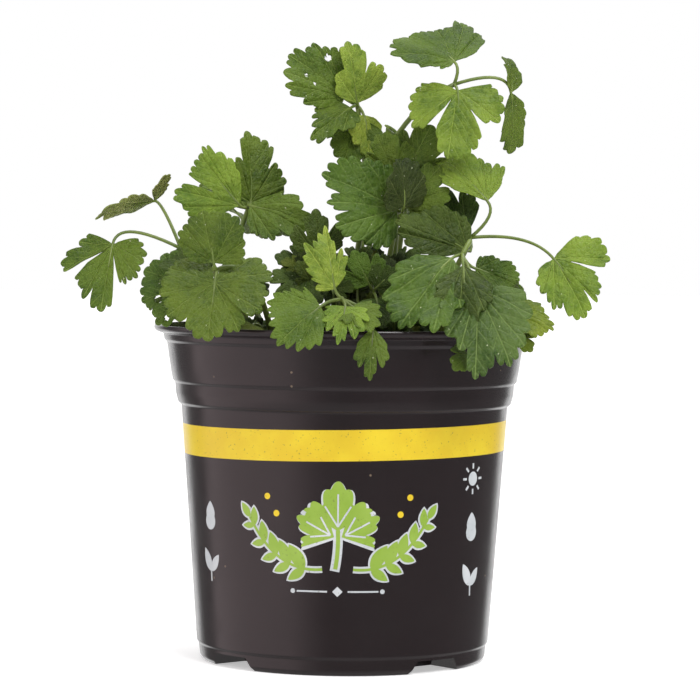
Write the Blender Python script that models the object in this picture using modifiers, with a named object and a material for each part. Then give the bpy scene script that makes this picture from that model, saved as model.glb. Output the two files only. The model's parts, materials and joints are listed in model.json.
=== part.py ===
"""Flat-leaf parsley in a black nursery pot, in metres, +Z up.

The origin is the centre of the pot's underside, on the pot's axis; -Y is the front.
Nodes: the pot (a thin moulded shell), the potting mix that fills it, and one node for each
leaf of the plant, which is a stalk with its leaflets grown on it as one body.
"""

import math
import random
from collections import namedtuple

import bmesh
import bpy
from mathutils import Matrix, Vector

# ---------------------------------------------------------------- driving dimensions
MM = 0.001
GAP = 0.3 * MM  # clearance between pieces that touch

WALL = 1.2 * MM
POT_SEGMENTS = 48

# Outer profile of the pot, from the rim down to the underside: (radius, height) in mm.
POT_PROFILE = [
    (57.6, 101.0),
    (58.0, 100.2),
    (57.5, 99.3),
    (55.2, 98.3),
    (54.2, 95.6),
    (52.6, 86.5),
    (51.6, 83.5),
    (51.2, 80.2),
    (49.9, 77.2),
    (44.2, 5.2),
    (43.4, 1.0),
    (42.4, 0.0),
]

# Drainage pockets: tunnels pressed up into the floor where it meets the wall.
POCKET_ANGLES = [math.radians(a) for a in (40, 130, 220, 310)]  # from -Y towards +X
POCKET_HEIGHT = 3.8 * MM
POCKET_WIDTH_BOTTOM = 19.0 * MM
POCKET_WIDTH_TOP = 14.0 * MM
POCKET_INNER_RADIUS = 30.0 * MM
DRAIN_LENGTH = 7.0 * MM
DRAIN_WIDTH = 4.0 * MM
DRAIN_RADIUS = 36.5 * MM  # the slot's centre, from the pot's axis

SOIL_LEVEL = 90.0 * MM
SOIL_CROWN = 2.5 * MM  # how far the mix is heaped in the middle
SOIL_SEGMENTS = 32

ROOT_DEPTH = 8.0 * MM
STALK_FOOT_RADIUS = 1.15 * MM
STALK_FORK_RADIUS = 0.85 * MM
STEM_RADIUS = 0.65 * MM  # of a leaflet's own short stem, at the stalk
STEM_BASE_RADIUS = 0.5 * MM  # and where its blade begins
STEM_END_RADIUS = 0.3 * MM  # thinner than the blade, so that the stem ends inside it
MIDRIB_SHARE = 0.15  # how far a leaflet's stem runs on into its blade
BLADE_THICKNESS = 0.7 * MM


def mm(x, y, z):
    return Vector((x, y, z)) * MM


# ---------------------------------------------------------------- leaf forms
# A leaflet is a fan of lobes that spread from its base. A lobe spans an angle (half_width,
# degrees), reaches out by a share of the leaflet's length and ends in teeth. sinus is how far
# out the cut between two lobes stops, tooth the depth of the teeth; rounded teeth have a flat
# crest, the others end in a point.
Lobe = namedtuple("Lobe", "half_width reach teeth")
Form = namedtuple("Form", "lobes sinus tooth rounded")

FORMS = {
    "broad": Form([Lobe(30, 0.84, 3), Lobe(34, 1.0, 3), Lobe(30, 0.84, 3)], 0.70, 0.14, True),
    "palm": Form(
        [Lobe(21, 0.62, 2), Lobe(22, 0.82, 2), Lobe(26, 1.0, 3), Lobe(22, 0.82, 2), Lobe(21, 0.62, 2)],
        0.68, 0.13, True,
    ),
    "fan": Form([Lobe(24, 0.86, 2), Lobe(28, 1.0, 3), Lobe(24, 0.86, 2)], 0.66, 0.14, True),
    "wedge": Form([Lobe(17, 0.84, 2), Lobe(20, 1.0, 3), Lobe(17, 0.84, 2)], 0.70, 0.13, True),
    "cut": Form([Lobe(23, 0.80, 2), Lobe(25, 1.0, 3), Lobe(23, 0.80, 2)], 0.34, 0.14, True),
    "small": Form([Lobe(26, 0.84, 2), Lobe(30, 1.0, 3), Lobe(26, 0.84, 2)], 0.66, 0.13, False),
    "young": Form([Lobe(22, 0.78, 3), Lobe(22, 1.0, 5), Lobe(22, 0.78, 3)], 0.48, 0.20, False),
}

# A leaflet runs from base to tip, its upper side turned to face. spread widens or narrows the
# fan of its lobes, bow is how far the blade bends down over its length (degrees) and joint the
# share of the stalk where its stem leaves.
Leaflet = namedtuple("Leaflet", "base tip face form spread bow joint", defaults=(1.0, 28, 1.0))
# A leaf stands at foot (x, y) in the mix; its stalk bends by way of via and ends at fork.
Leaf = namedtuple("Leaf", "foot via fork leaflets")

LEAVES = {
    "leaf_far_left": Leaf(
        (-30, -12), (-36, -18, 122), (-49, -21, 124),
        [
            Leaflet((-56, -20, 138), (-67, -31, 133), (-0.5, -0.40, 0.8), "fan", 1.1, 15),
            Leaflet((-69, -24, 125), (-72, -31, 105), (-0.05, -0.95, 0.3), "cut", 1.08, 20),
        ],
    ),
    "leaf_upper_left": Leaf(
        (-24, -2), (-32, -4, 122), (-29, -5, 137),
        [
            Leaflet((-32, -8, 137), (-46, -6, 152), (-0.3, -0.85, 0.4), "fan"),
            Leaflet((-29, -3, 138), (-30, 2, 160), (0.55, -0.85, 0.2), "cut", 0.76),
            Leaflet((-29, -8, 137), (-11, -16, 131), (0.15, -0.9, 0.4), "fan"),
        ],
    ),
    "leaf_big_left": Leaf(
        (-20, -24), (-25, -42, 124), (-37, -46, 118),
        [
            Leaflet((-37, -49, 118), (-38, -60, 98), (0.0, -0.85, 0.5), "palm", 1.0, 25),
            Leaflet((-38, -48, 120), (-39, -47, 137), (-0.1, -0.95, 0.2), "broad", 0.85, 30),
            Leaflet((-40, -42, 117), (-53, -32, 121), (-0.2, -0.7, 0.6), "small"),
            Leaflet((-46, -37, 113), (-61, -34, 109), (-0.2, -0.9, 0.3), "fan", 1.05),
        ],
    ),
    "leaf_young": Leaf(
        (-2, -30), (-1, -44, 112), (-1, -54, 110),
        [
            Leaflet((-3, -54, 113), (-7, -48, 131), (0.0, -0.95, 0.3), "young", 0.8),
            Leaflet((-7, -60, 108), (-18, -67, 96), (-0.1, -0.85, 0.5), "young", 1.25),
            Leaflet((0, -58, 108), (-1, -68, 97), (0.0, -0.85, 0.5), "young"),
            Leaflet((2, -57, 108), (9, -64, 101), (0.3, -0.8, 0.5), "young"),
            Leaflet((8, -61, 102), (7, -67, 87), (0.0, -0.95, 0.3), "wedge", 0.5),
        ],
    ),
    "leaf_tall_left": Leaf(
        (8, 9), (8, 8, 140), (3, 6, 168),
        [
            Leaflet((-1, 5, 170), (-19, -2, 179), (-0.1, -0.9, 0.4), "broad", 0.9),
            Leaflet((3, 8, 169), (-1, 12, 184), (0.1, -0.95, 0.2), "fan", 0.8),
            Leaflet((1, 2, 167), (-9, -9, 155), (-0.1, -0.85, 0.5), "fan"),
            Leaflet((3, 5, 164), (0, 0, 150), (0.1, -0.95, 0.2), "wedge"),
            Leaflet((5, 5, 165), (7, 1, 151), (0.5, -0.85, 0.1), "wedge", 0.8),
        ],
    ),
    "leaf_top_right": Leaf(
        (2, -4), (0, -4, 158), (32, -6, 174),
        [
            Leaflet((32, -5, 181), (17, 4, 189), (0.1, -0.45, 0.9), "broad"),
            Leaflet((33, -9, 172), (36, -17, 152), (0.0, -0.9, 0.4), "cut", 1.25),
            Leaflet((48, -5, 173), (51, 11, 164), (0.95, -0.25, 0.2), "broad", 1.1),
        ],
    ),
    "leaf_right": Leaf(
        (18, -6), (16, -13, 124), (37, -17, 128),
        [
            Leaflet((42, -16, 139), (29, -9, 151), (0.1, -0.7, 0.7), "broad", 0.8),
            Leaflet((62, -22, 121), (74, -27, 104), (0.1, -0.9, 0.4), "cut", 0.95),
            Leaflet((36, -20, 124), (18, -22, 134), (-0.1, -0.9, 0.4), "fan", 0.85),
            Leaflet((36, -12, 131), (29, 0, 141), (0.1, 0.8, 0.3), "small"),
        ],
    ),
    "leaf_big_right": Leaf(
        (18, -22), (43, -25, 139), (34, -36, 123),
        [
            Leaflet((31, -39, 122), (13, -55, 102), (-0.1, -0.9, 0.4), "wedge", 0.75),
            Leaflet((34, -42, 120), (37, -51, 100), (0.0, -0.95, 0.3), "wedge", 0.7),
            Leaflet((38, -47, 113), (44, -61, 89), (0.1, -0.9, 0.4), "fan", 0.8),
            Leaflet((38, -35, 119), (51, -35, 114), (0.2, -0.9, 0.4), "wedge", 1.1),
            Leaflet((44, -33, 109), (59, -38, 99), (0.2, -0.65, 0.75), "fan", 0.75),
        ],
    ),
    "leaf_centre": Leaf(
        (9, -10), (12, -11, 122), (16, -14, 135),
        [
            Leaflet((15, -17, 136), (-9, -28, 141), (-0.1, -0.9, 0.35), "palm", 0.84),
            Leaflet((17, -20, 137), (16, -22, 151), (0.6, -0.75, 0.1), "wedge", 0.9),
            Leaflet((18, -14, 137), (28, -12, 149), (0.1, -0.85, 0.5), "fan"),
        ],
    ),
    "leaf_behind_centre": Leaf(
        (13, 0), (15, -3, 130), (16, -7, 145),
        [
            Leaflet((14, -9, 147), (10, -9, 158), (0.0, -0.9, 0.4), "fan"),
            Leaflet((18, -8, 147), (26, -7, 157), (0.1, -0.9, 0.4), "fan"),
        ],
    ),
    "leaf_inner_left": Leaf(
        (-10, -16), (-9, -18, 108), (-10, -22, 116),
        [
            Leaflet((-12, -24, 119), (-21, -24, 122), (-0.1, -0.8, 0.6), "small"),
            Leaflet((-11, -27, 116), (-19, -34, 107), (-0.1, -0.9, 0.4), "small"),
            Leaflet((-8, -24, 121), (-9, -26, 136), (0.0, -0.9, 0.4), "small", 0.8),
        ],
    ),
    "leaf_inner_right": Leaf(
        (7, -24), (8, -28, 108), (8, -32, 112),
        [
            Leaflet((7, -34, 114), (2, -36, 124), (-0.1, -0.95, 0.3), "small"),
            Leaflet((9, -35, 113), (15, -38, 119), (0.2, -0.9, 0.4), "small"),
            Leaflet((9, -36, 110), (11, -42, 101), (0.1, -0.9, 0.4), "small"),
        ],
    ),
    "leaf_back_left_high": Leaf(
        (-17, 10), (-26, 17, 122), (-32, 20, 133),
        [
            Leaflet((-34, 22, 135), (-46, 30, 143), (-0.4, 0.5, 0.8), "small"),
            Leaflet((-31, 22, 136), (-28, 26, 152), (0.2, 0.8, 0.5), "small"),
            Leaflet((-30, 24, 132), (-17, 33, 128), (0.2, 0.5, 0.8), "small"),
        ],
    ),
    "leaf_back_left_low": Leaf(
        (-22, 17), (-30, 30, 114), (-38, 36, 112),
        [
            Leaflet((-40, 37, 112), (-53, 40, 107), (-0.4, 0.3, 0.9), "small"),
            Leaflet((-39, 40, 111), (-43, 55, 99), (-0.3, 0.7, 0.6), "small"),
            Leaflet((-36, 39, 112), (-25, 49, 109), (0.2, 0.5, 0.9), "small"),
        ],
    ),
    "leaf_side_left": Leaf(
        (-32, 3), (-43, 5, 114), (-45, 6, 111),
        [
            Leaflet((-47, 5, 111), (-60, 3, 105), (-0.5, 0.0, 0.9), "small"),
            Leaflet((-46, 9, 110), (-51, 22, 106), (-0.3, 0.5, 0.8), "small"),
            Leaflet((-44, 3, 112), (-38, -9, 114), (0.0, -0.4, 0.9), "small"),
        ],
    ),
    "leaf_back_centre": Leaf(
        (1, 14), (3, 24, 126), (8, 28, 134),
        [
            Leaflet((6, 30, 135), (-5, 37, 139), (-0.2, 0.5, 0.9), "small"),
            Leaflet((10, 31, 134), (22, 40, 134), (0.2, 0.5, 0.9), "small"),
            Leaflet((8, 31, 136), (10, 38, 148), (0.0, 0.9, 0.5), "small"),
        ],
    ),
    "leaf_back_right": Leaf(
        (23, 10), (32, 22, 118), (40, 28, 117),
        [
            Leaflet((42, 28, 117), (55, 32, 112), (0.4, 0.3, 0.9), "small"),
            Leaflet((41, 31, 116), (46, 47, 104), (0.3, 0.7, 0.7), "small"),
            Leaflet((38, 31, 117), (28, 42, 117), (-0.1, 0.5, 0.9), "small"),
        ],
    ),
    "leaf_back_low": Leaf(
        (3, 24), (4, 40, 116), (6, 46, 112),
        [
            Leaflet((4, 48, 112), (-9, 53, 108), (-0.3, 0.4, 0.9), "small"),
            Leaflet((6, 50, 111), (6, 65, 99), (0.0, 0.7, 0.7), "small"),
            Leaflet((8, 48, 112), (20, 54, 108), (0.3, 0.4, 0.9), "small"),
        ],
    ),
    "leaf_back_high": Leaf(
        (13, 14), (17, 14, 140), (22, 16, 153),
        [
            Leaflet((24, 17, 155), (35, 24, 160), (0.3, 0.5, 0.8), "small"),
            Leaflet((20, 18, 155), (12, 27, 160), (-0.2, 0.6, 0.8), "small"),
        ],
    ),
}


# ---------------------------------------------------------------- helpers
def material(name, color, roughness):
    found = bpy.data.materials.new(name)
    found.use_nodes = True
    shader = found.node_tree.nodes["Principled BSDF"]
    shader.inputs["Base Color"].default_value = (*color, 1.0)
    shader.inputs["Roughness"].default_value = roughness
    return found


def clear_scene():
    for obj in list(bpy.data.objects):
        bpy.data.objects.remove(obj, do_unlink=True)


def collection(name, hidden=False):
    made = bpy.data.collections.new(name)
    made.hide_render = hidden
    bpy.context.scene.collection.children.link(made)
    return made


def add_object(name, data, where, look=None):
    obj = bpy.data.objects.new(name, data)
    where.objects.link(obj)
    if look:
        obj.data.materials.append(look)
    return obj


def mesh_of(bm, name):
    mesh = bpy.data.meshes.new(name)
    bm.to_mesh(mesh)
    bm.free()
    return mesh


def evaluated_mesh(obj):
    graph = bpy.context.evaluated_depsgraph_get()
    return bpy.data.meshes.new_from_object(obj.evaluated_get(graph))


def add_cutter(name, mesh, where):
    obj = add_object(name, mesh, where)
    obj.hide_render = True
    obj.display_type = "WIRE"
    return obj


def turned_mesh(name, profile, segments):
    """A closed or open surface turned about Z from an outline of (radius, height), top to bottom."""
    mesh = bpy.data.meshes.new(name)
    edges = [(i, i + 1) for i in range(len(profile) - 1)]
    mesh.from_pydata([(r, 0, z) for r, z in profile], edges, [])
    obj = bpy.data.objects.new(name + "_outline", mesh)
    bpy.context.scene.collection.objects.link(obj)
    screw = obj.modifiers.new("turn", "SCREW")
    screw.steps = screw.render_steps = segments
    screw.use_merge_vertices = True
    screw.merge_threshold = 0.00001
    turned = evaluated_mesh(obj)
    bpy.data.objects.remove(obj)
    turned.name = name
    return turned


def boolean(obj, operation, others):
    cut = obj.modifiers.new(operation.lower(), "BOOLEAN")
    cut.operation = operation
    cut.operand_type = "COLLECTION"
    cut.collection = others
    return cut


# ---------------------------------------------------------------- pot
def pocket_block(name, grow, reach, low):
    """A bar with a trapezoid section that points to -Y: a pocket's room and grow all round it.

    Its outer end follows the pot's wall at the radius reach.
    """
    bm = bmesh.new()
    stations = []
    for side in (-1.0, -0.6, 0.0, 0.6, 1.0):
        corners = []
        for z in (low, POCKET_HEIGHT + grow):
            narrowing = (POCKET_WIDTH_BOTTOM - POCKET_WIDTH_TOP) * z / POCKET_HEIGHT
            x = side * ((POCKET_WIDTH_BOTTOM - narrowing) / 2 + grow)
            corners.append(bm.verts.new((x, -math.sqrt(reach**2 - x**2), z)))
            corners.append(bm.verts.new((x, -POCKET_INNER_RADIUS + grow, z)))
        stations.append(corners)
    order = (0, 1, 3, 2)
    for here, there in zip(stations, stations[1:]):
        for i in range(4):
            j, k = order[i], order[(i + 1) % 4]
            bm.faces.new((here[j], here[k], there[k], there[j]))
    for corners in (stations[0], stations[-1]):
        bm.faces.new([corners[i] for i in order])
    bmesh.ops.recalc_face_normals(bm, faces=bm.faces)
    return mesh_of(bm, name)


def drain_slot():
    """A bar with round ends, standing through the roof of a pocket."""
    bm = bmesh.new()
    bmesh.ops.create_cone(
        bm, cap_ends=True, segments=12, radius1=DRAIN_WIDTH / 2, radius2=DRAIN_WIDTH / 2,
        depth=4 * WALL,
    )
    for v in bm.verts:
        shift = (DRAIN_LENGTH - DRAIN_WIDTH) / 2
        v.co.x += math.copysign(shift, v.co.x) if abs(v.co.x) > 1e-6 else 0
        v.co.y -= DRAIN_RADIUS
        v.co.z += POCKET_HEIGHT + WALL / 2
    return mesh_of(bm, "drain_slot")


def build_pot(plant, cutters, look):
    outline = [(r * MM, z * MM) for r, z in POT_PROFILE] + [(0.0, 0.0)]
    pot = add_object("pot", turned_mesh("pot", outline, POT_SEGMENTS), plant, look)
    shell = pot.modifiers.new("wall", "SOLIDIFY")
    shell.thickness = WALL
    shell.offset = -1.0
    shell.use_even_offset = True

    blocks = collection("pocket_walls", hidden=True)
    block = pocket_block("pocket_wall", WALL, 42.8 * MM, WALL / 2)
    tunnel = pocket_block("pocket", 0.0, 50 * MM, -2 * MM)
    slot = drain_slot()
    for i, angle in enumerate(POCKET_ANGLES):
        for name, mesh, where in (
            (f"pocket_wall_{i}", block, blocks),
            (f"pocket_{i}", tunnel, cutters),
            (f"drain_{i}", slot, cutters),
        ):
            add_cutter(name, mesh, where).rotation_euler.z = angle
    boolean(pot, "UNION", blocks)
    boolean(pot, "DIFFERENCE", cutters)
    return pot


# ---------------------------------------------------------------- potting mix
def inner_radius(height):
    """Radius of the pot's inside at a height, from its outer profile less the wall."""
    for (r1, z1), (r2, z2) in zip(POT_PROFILE, POT_PROFILE[1:]):
        if z2 * MM <= height <= z1 * MM:
            share = (height / MM - z2) / (z1 - z2)
            return (r2 + (r1 - r2) * share) * MM - WALL
    raise ValueError("the height lies outside the pot")


def build_soil(plant, feet, look):
    """The mix fills the pot from its floor, round the pockets, with a plain hole for each stalk."""
    levels = [h * MM for h in (86.5, 83.5, 80.2, 77.2, 6.0)]
    clear = GAP * 1.6
    floor = WALL + GAP
    edge = inner_radius(SOIL_LEVEL) - clear
    dome = [
        (edge * share, SOIL_LEVEL + SOIL_CROWN * math.cos(share * math.pi / 2))
        for share in (0.0, 0.35, 0.65, 0.88, 1.0)
    ]
    side = [(inner_radius(h) - clear, h) for h in levels]
    bottom = [(inner_radius(5.0 * MM) - 1.2 * MM, floor), (0.0, floor)]
    soil = add_object(
        "potting_mix", turned_mesh("potting_mix", dome + side + bottom, SOIL_SEGMENTS), plant, look
    )
    hollows = collection("soil_hollows", hidden=True)
    block = pocket_block("pocket_room", WALL + GAP, 50 * MM, -2 * MM)
    for i, angle in enumerate(POCKET_ANGLES):
        add_cutter(f"pocket_room_{i}", block, hollows).rotation_euler.z = angle
    hole = bmesh.new()
    sides = 6
    radius = (STALK_FOOT_RADIUS + GAP) / math.cos(math.pi / sides)
    bmesh.ops.create_cone(
        hole, cap_ends=True, segments=sides, radius1=radius, radius2=radius, depth=20 * MM
    )
    bottom_of_hole = SOIL_LEVEL - ROOT_DEPTH - GAP
    bmesh.ops.translate(hole, verts=hole.verts, vec=(0, 0, bottom_of_hole + 10 * MM))
    hole_mesh = mesh_of(hole, "stalk_hole")
    for i, foot in enumerate(feet):
        add_cutter(f"stalk_hole_{i}", hole_mesh, hollows).location = (*foot, 0)
    boolean(soil, "DIFFERENCE", hollows)
    return soil


# ---------------------------------------------------------------- leaves
def quadratic(start, control, end, share):
    return (
        start * (1 - share) ** 2 + control * 2 * share * (1 - share) + end * share**2
    )


def tube(points, radii, name, sides_resolution):
    """A solid round stem along the points, as a mesh."""
    data = bpy.data.curves.new(name, "CURVE")
    data.dimensions = "3D"
    data.bevel_depth = 1.0
    data.bevel_resolution = sides_resolution
    data.use_fill_caps = True
    spline = data.splines.new("POLY")
    spline.points.add(len(points) - 1)
    for knot, point, radius in zip(spline.points, points, radii):
        knot.co = (*point, 1.0)
        knot.radius = radius
    obj = bpy.data.objects.new(name, data)
    bpy.context.scene.collection.objects.link(obj)
    mesh = evaluated_mesh(obj)
    bpy.data.objects.remove(obj)
    bm = bmesh.new()
    bm.from_mesh(mesh)
    bmesh.ops.remove_doubles(bm, verts=bm.verts, dist=0.000001)
    bmesh.ops.recalc_face_normals(bm, faces=bm.faces)
    bm.to_mesh(mesh)
    bm.free()
    return mesh


def margin(form, spread, rng):
    """The leaflet's edge, one column after another, as (angle, reach, place in the lobe from -1 to 1).

    With it come the columns where the blade folds: both ends, each cut and the middle of the leaf.
    """
    places = (0.0, 0.27, 0.73) if form.rounded else (0.0, 0.5)
    edge = []
    folds = []
    axis = -sum(lobe.half_width for lobe in form.lobes)
    for lobe in form.lobes:
        axis += lobe.half_width
        reach = lobe.reach * rng.uniform(0.93, 1.07)
        stops = [tooth + place for tooth in range(lobe.teeth) for place in places]
        folds.append(len(edge))
        if lobe.reach == 1.0:
            folds.append(len(edge) + len(stops) // 2)
        if lobe is form.lobes[-1]:
            stops.append(lobe.teeth)
        for stop in stops:
            t = 2 * stop / lobe.teeth - 1
            crown = math.sqrt(max(0.0, 1 - abs(t) ** 2.5))
            notch = 1 - abs(math.sin(math.pi * stop))
            share = (form.sinus + (1 - form.sinus) * crown) * (1 - form.tooth * notch)
            angle = math.radians((axis + t * lobe.half_width) * spread)
            edge.append((angle, reach * share, t))
        axis += lobe.half_width
    folds.append(len(edge) - 1)
    return edge, folds


def blade_point(angle, reach, t, bow, ruffle, phase):
    """A point of the blade in its own frame: x along the midrib, z towards the upper side."""
    x = reach * math.cos(angle)
    y = reach * math.sin(angle)
    z = 0.16 * reach * abs(t) ** 1.3 + ruffle * reach**2 * math.sin(5 * angle + phase)
    bend = max(math.radians(bow), 0.01)
    return Vector(
        (
            (math.sin(bend * x) / bend) + z * math.sin(bend * x),
            y,
            -(1 - math.cos(bend * x)) / bend + z * math.cos(bend * x),
        )
    )


def blade_frame(leaflet, tip_point):
    """Matrix that puts a blade's own frame on the leaflet's base, tip and face."""
    base = mm(*leaflet.base)
    chord = mm(*leaflet.tip) - base
    along = chord.normalized()
    face = Vector(leaflet.face)
    up = (face - along * face.dot(along)).normalized()
    across = up.cross(along)
    tilt = math.atan2(tip_point.z, tip_point.x)
    axes = Matrix((along, across, up)).transposed().to_4x4()
    level = Matrix.Rotation(tilt, 4, "Y")
    size = chord.length / tip_point.length
    return Matrix.Translation(base) @ axes @ level @ Matrix.Scale(size, 4)


def blade(leaflet, seed):
    """The blade's mesh, still an open surface, and points on its midrib for the stem to follow."""
    rng = random.Random(seed)
    form = FORMS[leaflet.form]
    edge, folds = margin(form, leaflet.spread, rng)
    ruffle = rng.uniform(0.03, 0.07)
    phase = rng.uniform(0, 2 * math.pi)

    def place(angle, reach, t):
        return blade_point(angle, reach, t, leaflet.bow, ruffle, phase)

    to_world = blade_frame(leaflet, place(0.0, 1.0, 0.0))
    bm = bmesh.new()
    root = bm.verts.new(place(0, 0, 0))
    rim = [bm.verts.new(place(*point)) for point in edge]
    ring = [bm.verts.new(place(a, 0.5 * r, t)) for a, r, t in (edge[i] for i in folds)]
    for i, (first, last) in enumerate(zip(folds, folds[1:])):
        middle = (first + last + 1) // 2
        bm.faces.new((root, ring[i], ring[i + 1]))
        bm.faces.new((ring[i], rim[middle], ring[i + 1]))
        for j in range(first, last):
            near = ring[i] if j < middle else ring[i + 1]
            bm.faces.new((near, rim[j], rim[j + 1]))
    bmesh.ops.transform(bm, matrix=to_world, verts=bm.verts)
    mesh = mesh_of(bm, "blade")
    midrib = [to_world @ place(0.0, share, 0.0) for share in (0.0, MIDRIB_SHARE)]
    return mesh, midrib


def leaflet_stem(stalk, leaflet, midrib, name):
    """The short stem from the stalk to the blade, run on into the blade as its midrib."""
    start = stalk(leaflet.joint)
    base, inner = midrib
    into = (inner - base).normalized()
    length = (base - start).length
    points = [start]
    if length > 4 * MM:
        control = base - into * 0.45 * length
        middle = (0.3, 0.65) if length > 10 * MM else (0.5,)
        points += [quadratic(start, control, base, share) for share in middle]
    points.append(base)
    slope = (STEM_RADIUS - STEM_BASE_RADIUS) / (len(points) - 1)
    radii = [STEM_RADIUS - slope * i for i in range(len(points))]
    return tube(points + [inner], radii + [STEM_END_RADIUS], name, 0)


def build_leaf(name, leaf, plant, look):
    """One leaf: its stalk, and a stem and a blade for each leaflet, joined in one body."""
    foot = mm(*leaf.foot, 0) + Vector((0, 0, SOIL_LEVEL))
    control = mm(*leaf.via)
    fork = mm(*leaf.fork)

    def stalk(share):
        return quadratic(foot, control, fork, share)

    steps = 6
    top = max(item.joint for item in leaf.leaflets)
    points = [foot - Vector((0, 0, ROOT_DEPTH)), foot + Vector((0, 0, SOIL_CROWN))]
    points += [stalk(top * i / steps) for i in range(1, steps)] + [stalk(top * 1.02)]
    taper = (STALK_FOOT_RADIUS - STALK_FORK_RADIUS) / (len(points) - 1)
    radii = [STALK_FOOT_RADIUS - taper * i for i in range(len(points))]
    obj = add_object(name, tube(points, radii, name, 0), plant, look)

    pieces = collection(name + "_pieces")
    for i, leaflet in enumerate(leaf.leaflets):
        mesh, midrib = blade(leaflet, f"{name}{i}")
        part = add_object(f"{name}_blade_{i}", mesh, pieces)
        sheet = part.modifiers.new("thickness", "SOLIDIFY")
        sheet.thickness = BLADE_THICKNESS
        sheet.offset = 0.0
        add_object(f"{name}_stem_{i}", leaflet_stem(stalk, leaflet, midrib, f"{name}_stem"), pieces)
    boolean(obj, "UNION", pieces).solver = "MANIFOLD"
    joined = evaluated_mesh(obj)
    obj.modifiers.clear()
    obj.data = joined
    for part in list(pieces.objects):
        bpy.data.objects.remove(part)
    bpy.data.collections.remove(pieces)
    return obj


# ---------------------------------------------------------------- the whole plant
def main():
    clear_scene()
    plant = collection("potted_parsley")
    cutters = collection("cutters", hidden=True)
    black_plastic = material("black_plastic", (0.02, 0.018, 0.018), 0.3)
    peat = material("peat", (0.06, 0.04, 0.025), 0.95)
    leaf_green = material("leaf_green", (0.09, 0.19, 0.03), 0.45)

    for name, leaf in LEAVES.items():
        build_leaf(name, leaf, plant, leaf_green)
    build_soil(plant, [mm(*leaf.foot, 0).xy for leaf in LEAVES.values()], peat)
    pot = build_pot(plant, cutters, black_plastic)
    pot.data.shade_smooth()


main()
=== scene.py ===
"""Looks of the potted parsley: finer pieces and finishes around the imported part, in metres.

+Z is up and -Y is the front. The pot, the potting mix and every leaf stand for the part's node
of the same name, in its place. Loose crumbs, small shoots, low leaflets and the pot's prints are
added to them.
"""

import json
import math
import random
from collections import namedtuple

import bmesh
import bpy
from mathutils import Euler, Matrix, Vector, noise

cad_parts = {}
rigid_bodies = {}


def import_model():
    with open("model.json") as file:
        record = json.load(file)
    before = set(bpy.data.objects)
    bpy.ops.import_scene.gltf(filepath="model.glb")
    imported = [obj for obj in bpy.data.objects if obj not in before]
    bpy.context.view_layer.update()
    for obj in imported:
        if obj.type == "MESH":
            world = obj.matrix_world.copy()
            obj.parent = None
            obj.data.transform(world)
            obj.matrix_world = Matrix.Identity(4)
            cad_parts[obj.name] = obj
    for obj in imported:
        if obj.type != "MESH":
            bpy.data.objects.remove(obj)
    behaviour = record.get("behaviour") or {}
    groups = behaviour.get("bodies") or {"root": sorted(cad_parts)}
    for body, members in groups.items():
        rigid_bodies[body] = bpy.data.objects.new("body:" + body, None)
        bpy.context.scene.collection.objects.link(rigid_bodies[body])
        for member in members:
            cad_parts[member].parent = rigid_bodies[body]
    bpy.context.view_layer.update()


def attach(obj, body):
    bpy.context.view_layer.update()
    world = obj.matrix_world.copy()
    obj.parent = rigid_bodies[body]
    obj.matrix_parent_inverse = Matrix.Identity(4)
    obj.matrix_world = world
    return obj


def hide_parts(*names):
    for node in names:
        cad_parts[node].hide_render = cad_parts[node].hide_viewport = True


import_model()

MM = 0.001
FULL_TURN = 2 * math.pi

# ---------------------------------------------------------------- sizes of the pot and the mix
POT_STEPS = 224  # steps of the turn that makes the pot
POT_SHARP = 38  # degrees between two faces from which their edge is sharp
WALL = 1.2 * MM
# The pot's outer outline from the foot to the rim, in mm: (radius, height, rounding).
POT_OUTLINE = [
    (42.4, 0.0, 0.7),
    (43.35, 1.1, 0.5),
    (43.75, 4.7, 0.25),
    (44.3, 5.5, 0.3),
    (49.5, 76.9, 0.25),
    (50.5, 77.7, 0.35),
    (51.2, 80.4, 0.5),
    (51.45, 83.6, 0.2),
    (52.2, 84.4, 0.35),
    (52.7, 87.0, 0.8),
    (54.0, 95.8, 0.2),
    (54.8, 96.6, 0.3),
    (55.15, 98.4, 0.3),
    (57.4, 99.2, 0.5),
    (58.0, 100.1, 0.35),
    (57.75, 101.0, 0.3),
    (57.0, 100.9, 0.2),
]
# The inner wall follows the outer one between these heights, and ends at the floor's edge.
INSIDE_LOW = 6 * MM
INSIDE_HIGH = 98.5 * MM
FLOOR_RADIUS = 42.6 * MM
# The printed band round the pot: heights at the axis, and how much its edges rise along X.
BAND_LOW = 63.1 * MM
BAND_HIGH = 72.2 * MM
BAND_TILT = 0.017

# The drainage pockets at the foot, with sides that slope, and the slot in each one's roof.
POCKET_ANGLES = (40, 130, 220, 310)
POCKET_HEIGHT = 3.8 * MM
POCKET_WIDTH_BOTTOM = 19.0 * MM
POCKET_WIDTH_TOP = 14.0 * MM
POCKET_INNER_RADIUS = 30.0 * MM
POCKET_OUTER_RADIUS = 42.9 * MM
PAST_THE_POT = 50 * MM  # how far out a pocket's room is cut
DRAIN_RADIUS = 36.5 * MM
DRAIN_LENGTH = 7.0 * MM
DRAIN_WIDTH = 4.0 * MM

# The potting mix: its edge's height, how much its middle is heaped, and its room in the pot.
SOIL_LEVEL = 90.0 * MM
SOIL_DOME = 2.5 * MM
SOIL_BOTTOM = 5.4 * MM
SOIL_CLEARANCE = 0.5 * MM
SOIL_SIDE = (87, 84.1, 83, 80.4, 77.7, 76.3, 40, 6)  # heights of the side's steps, in mm
SOIL_RINGS = 34
SOIL_STEPS = 144

# ---------------------------------------------------------------- the prints
PRINT_THICKNESS = 0.05 * MM
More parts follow.
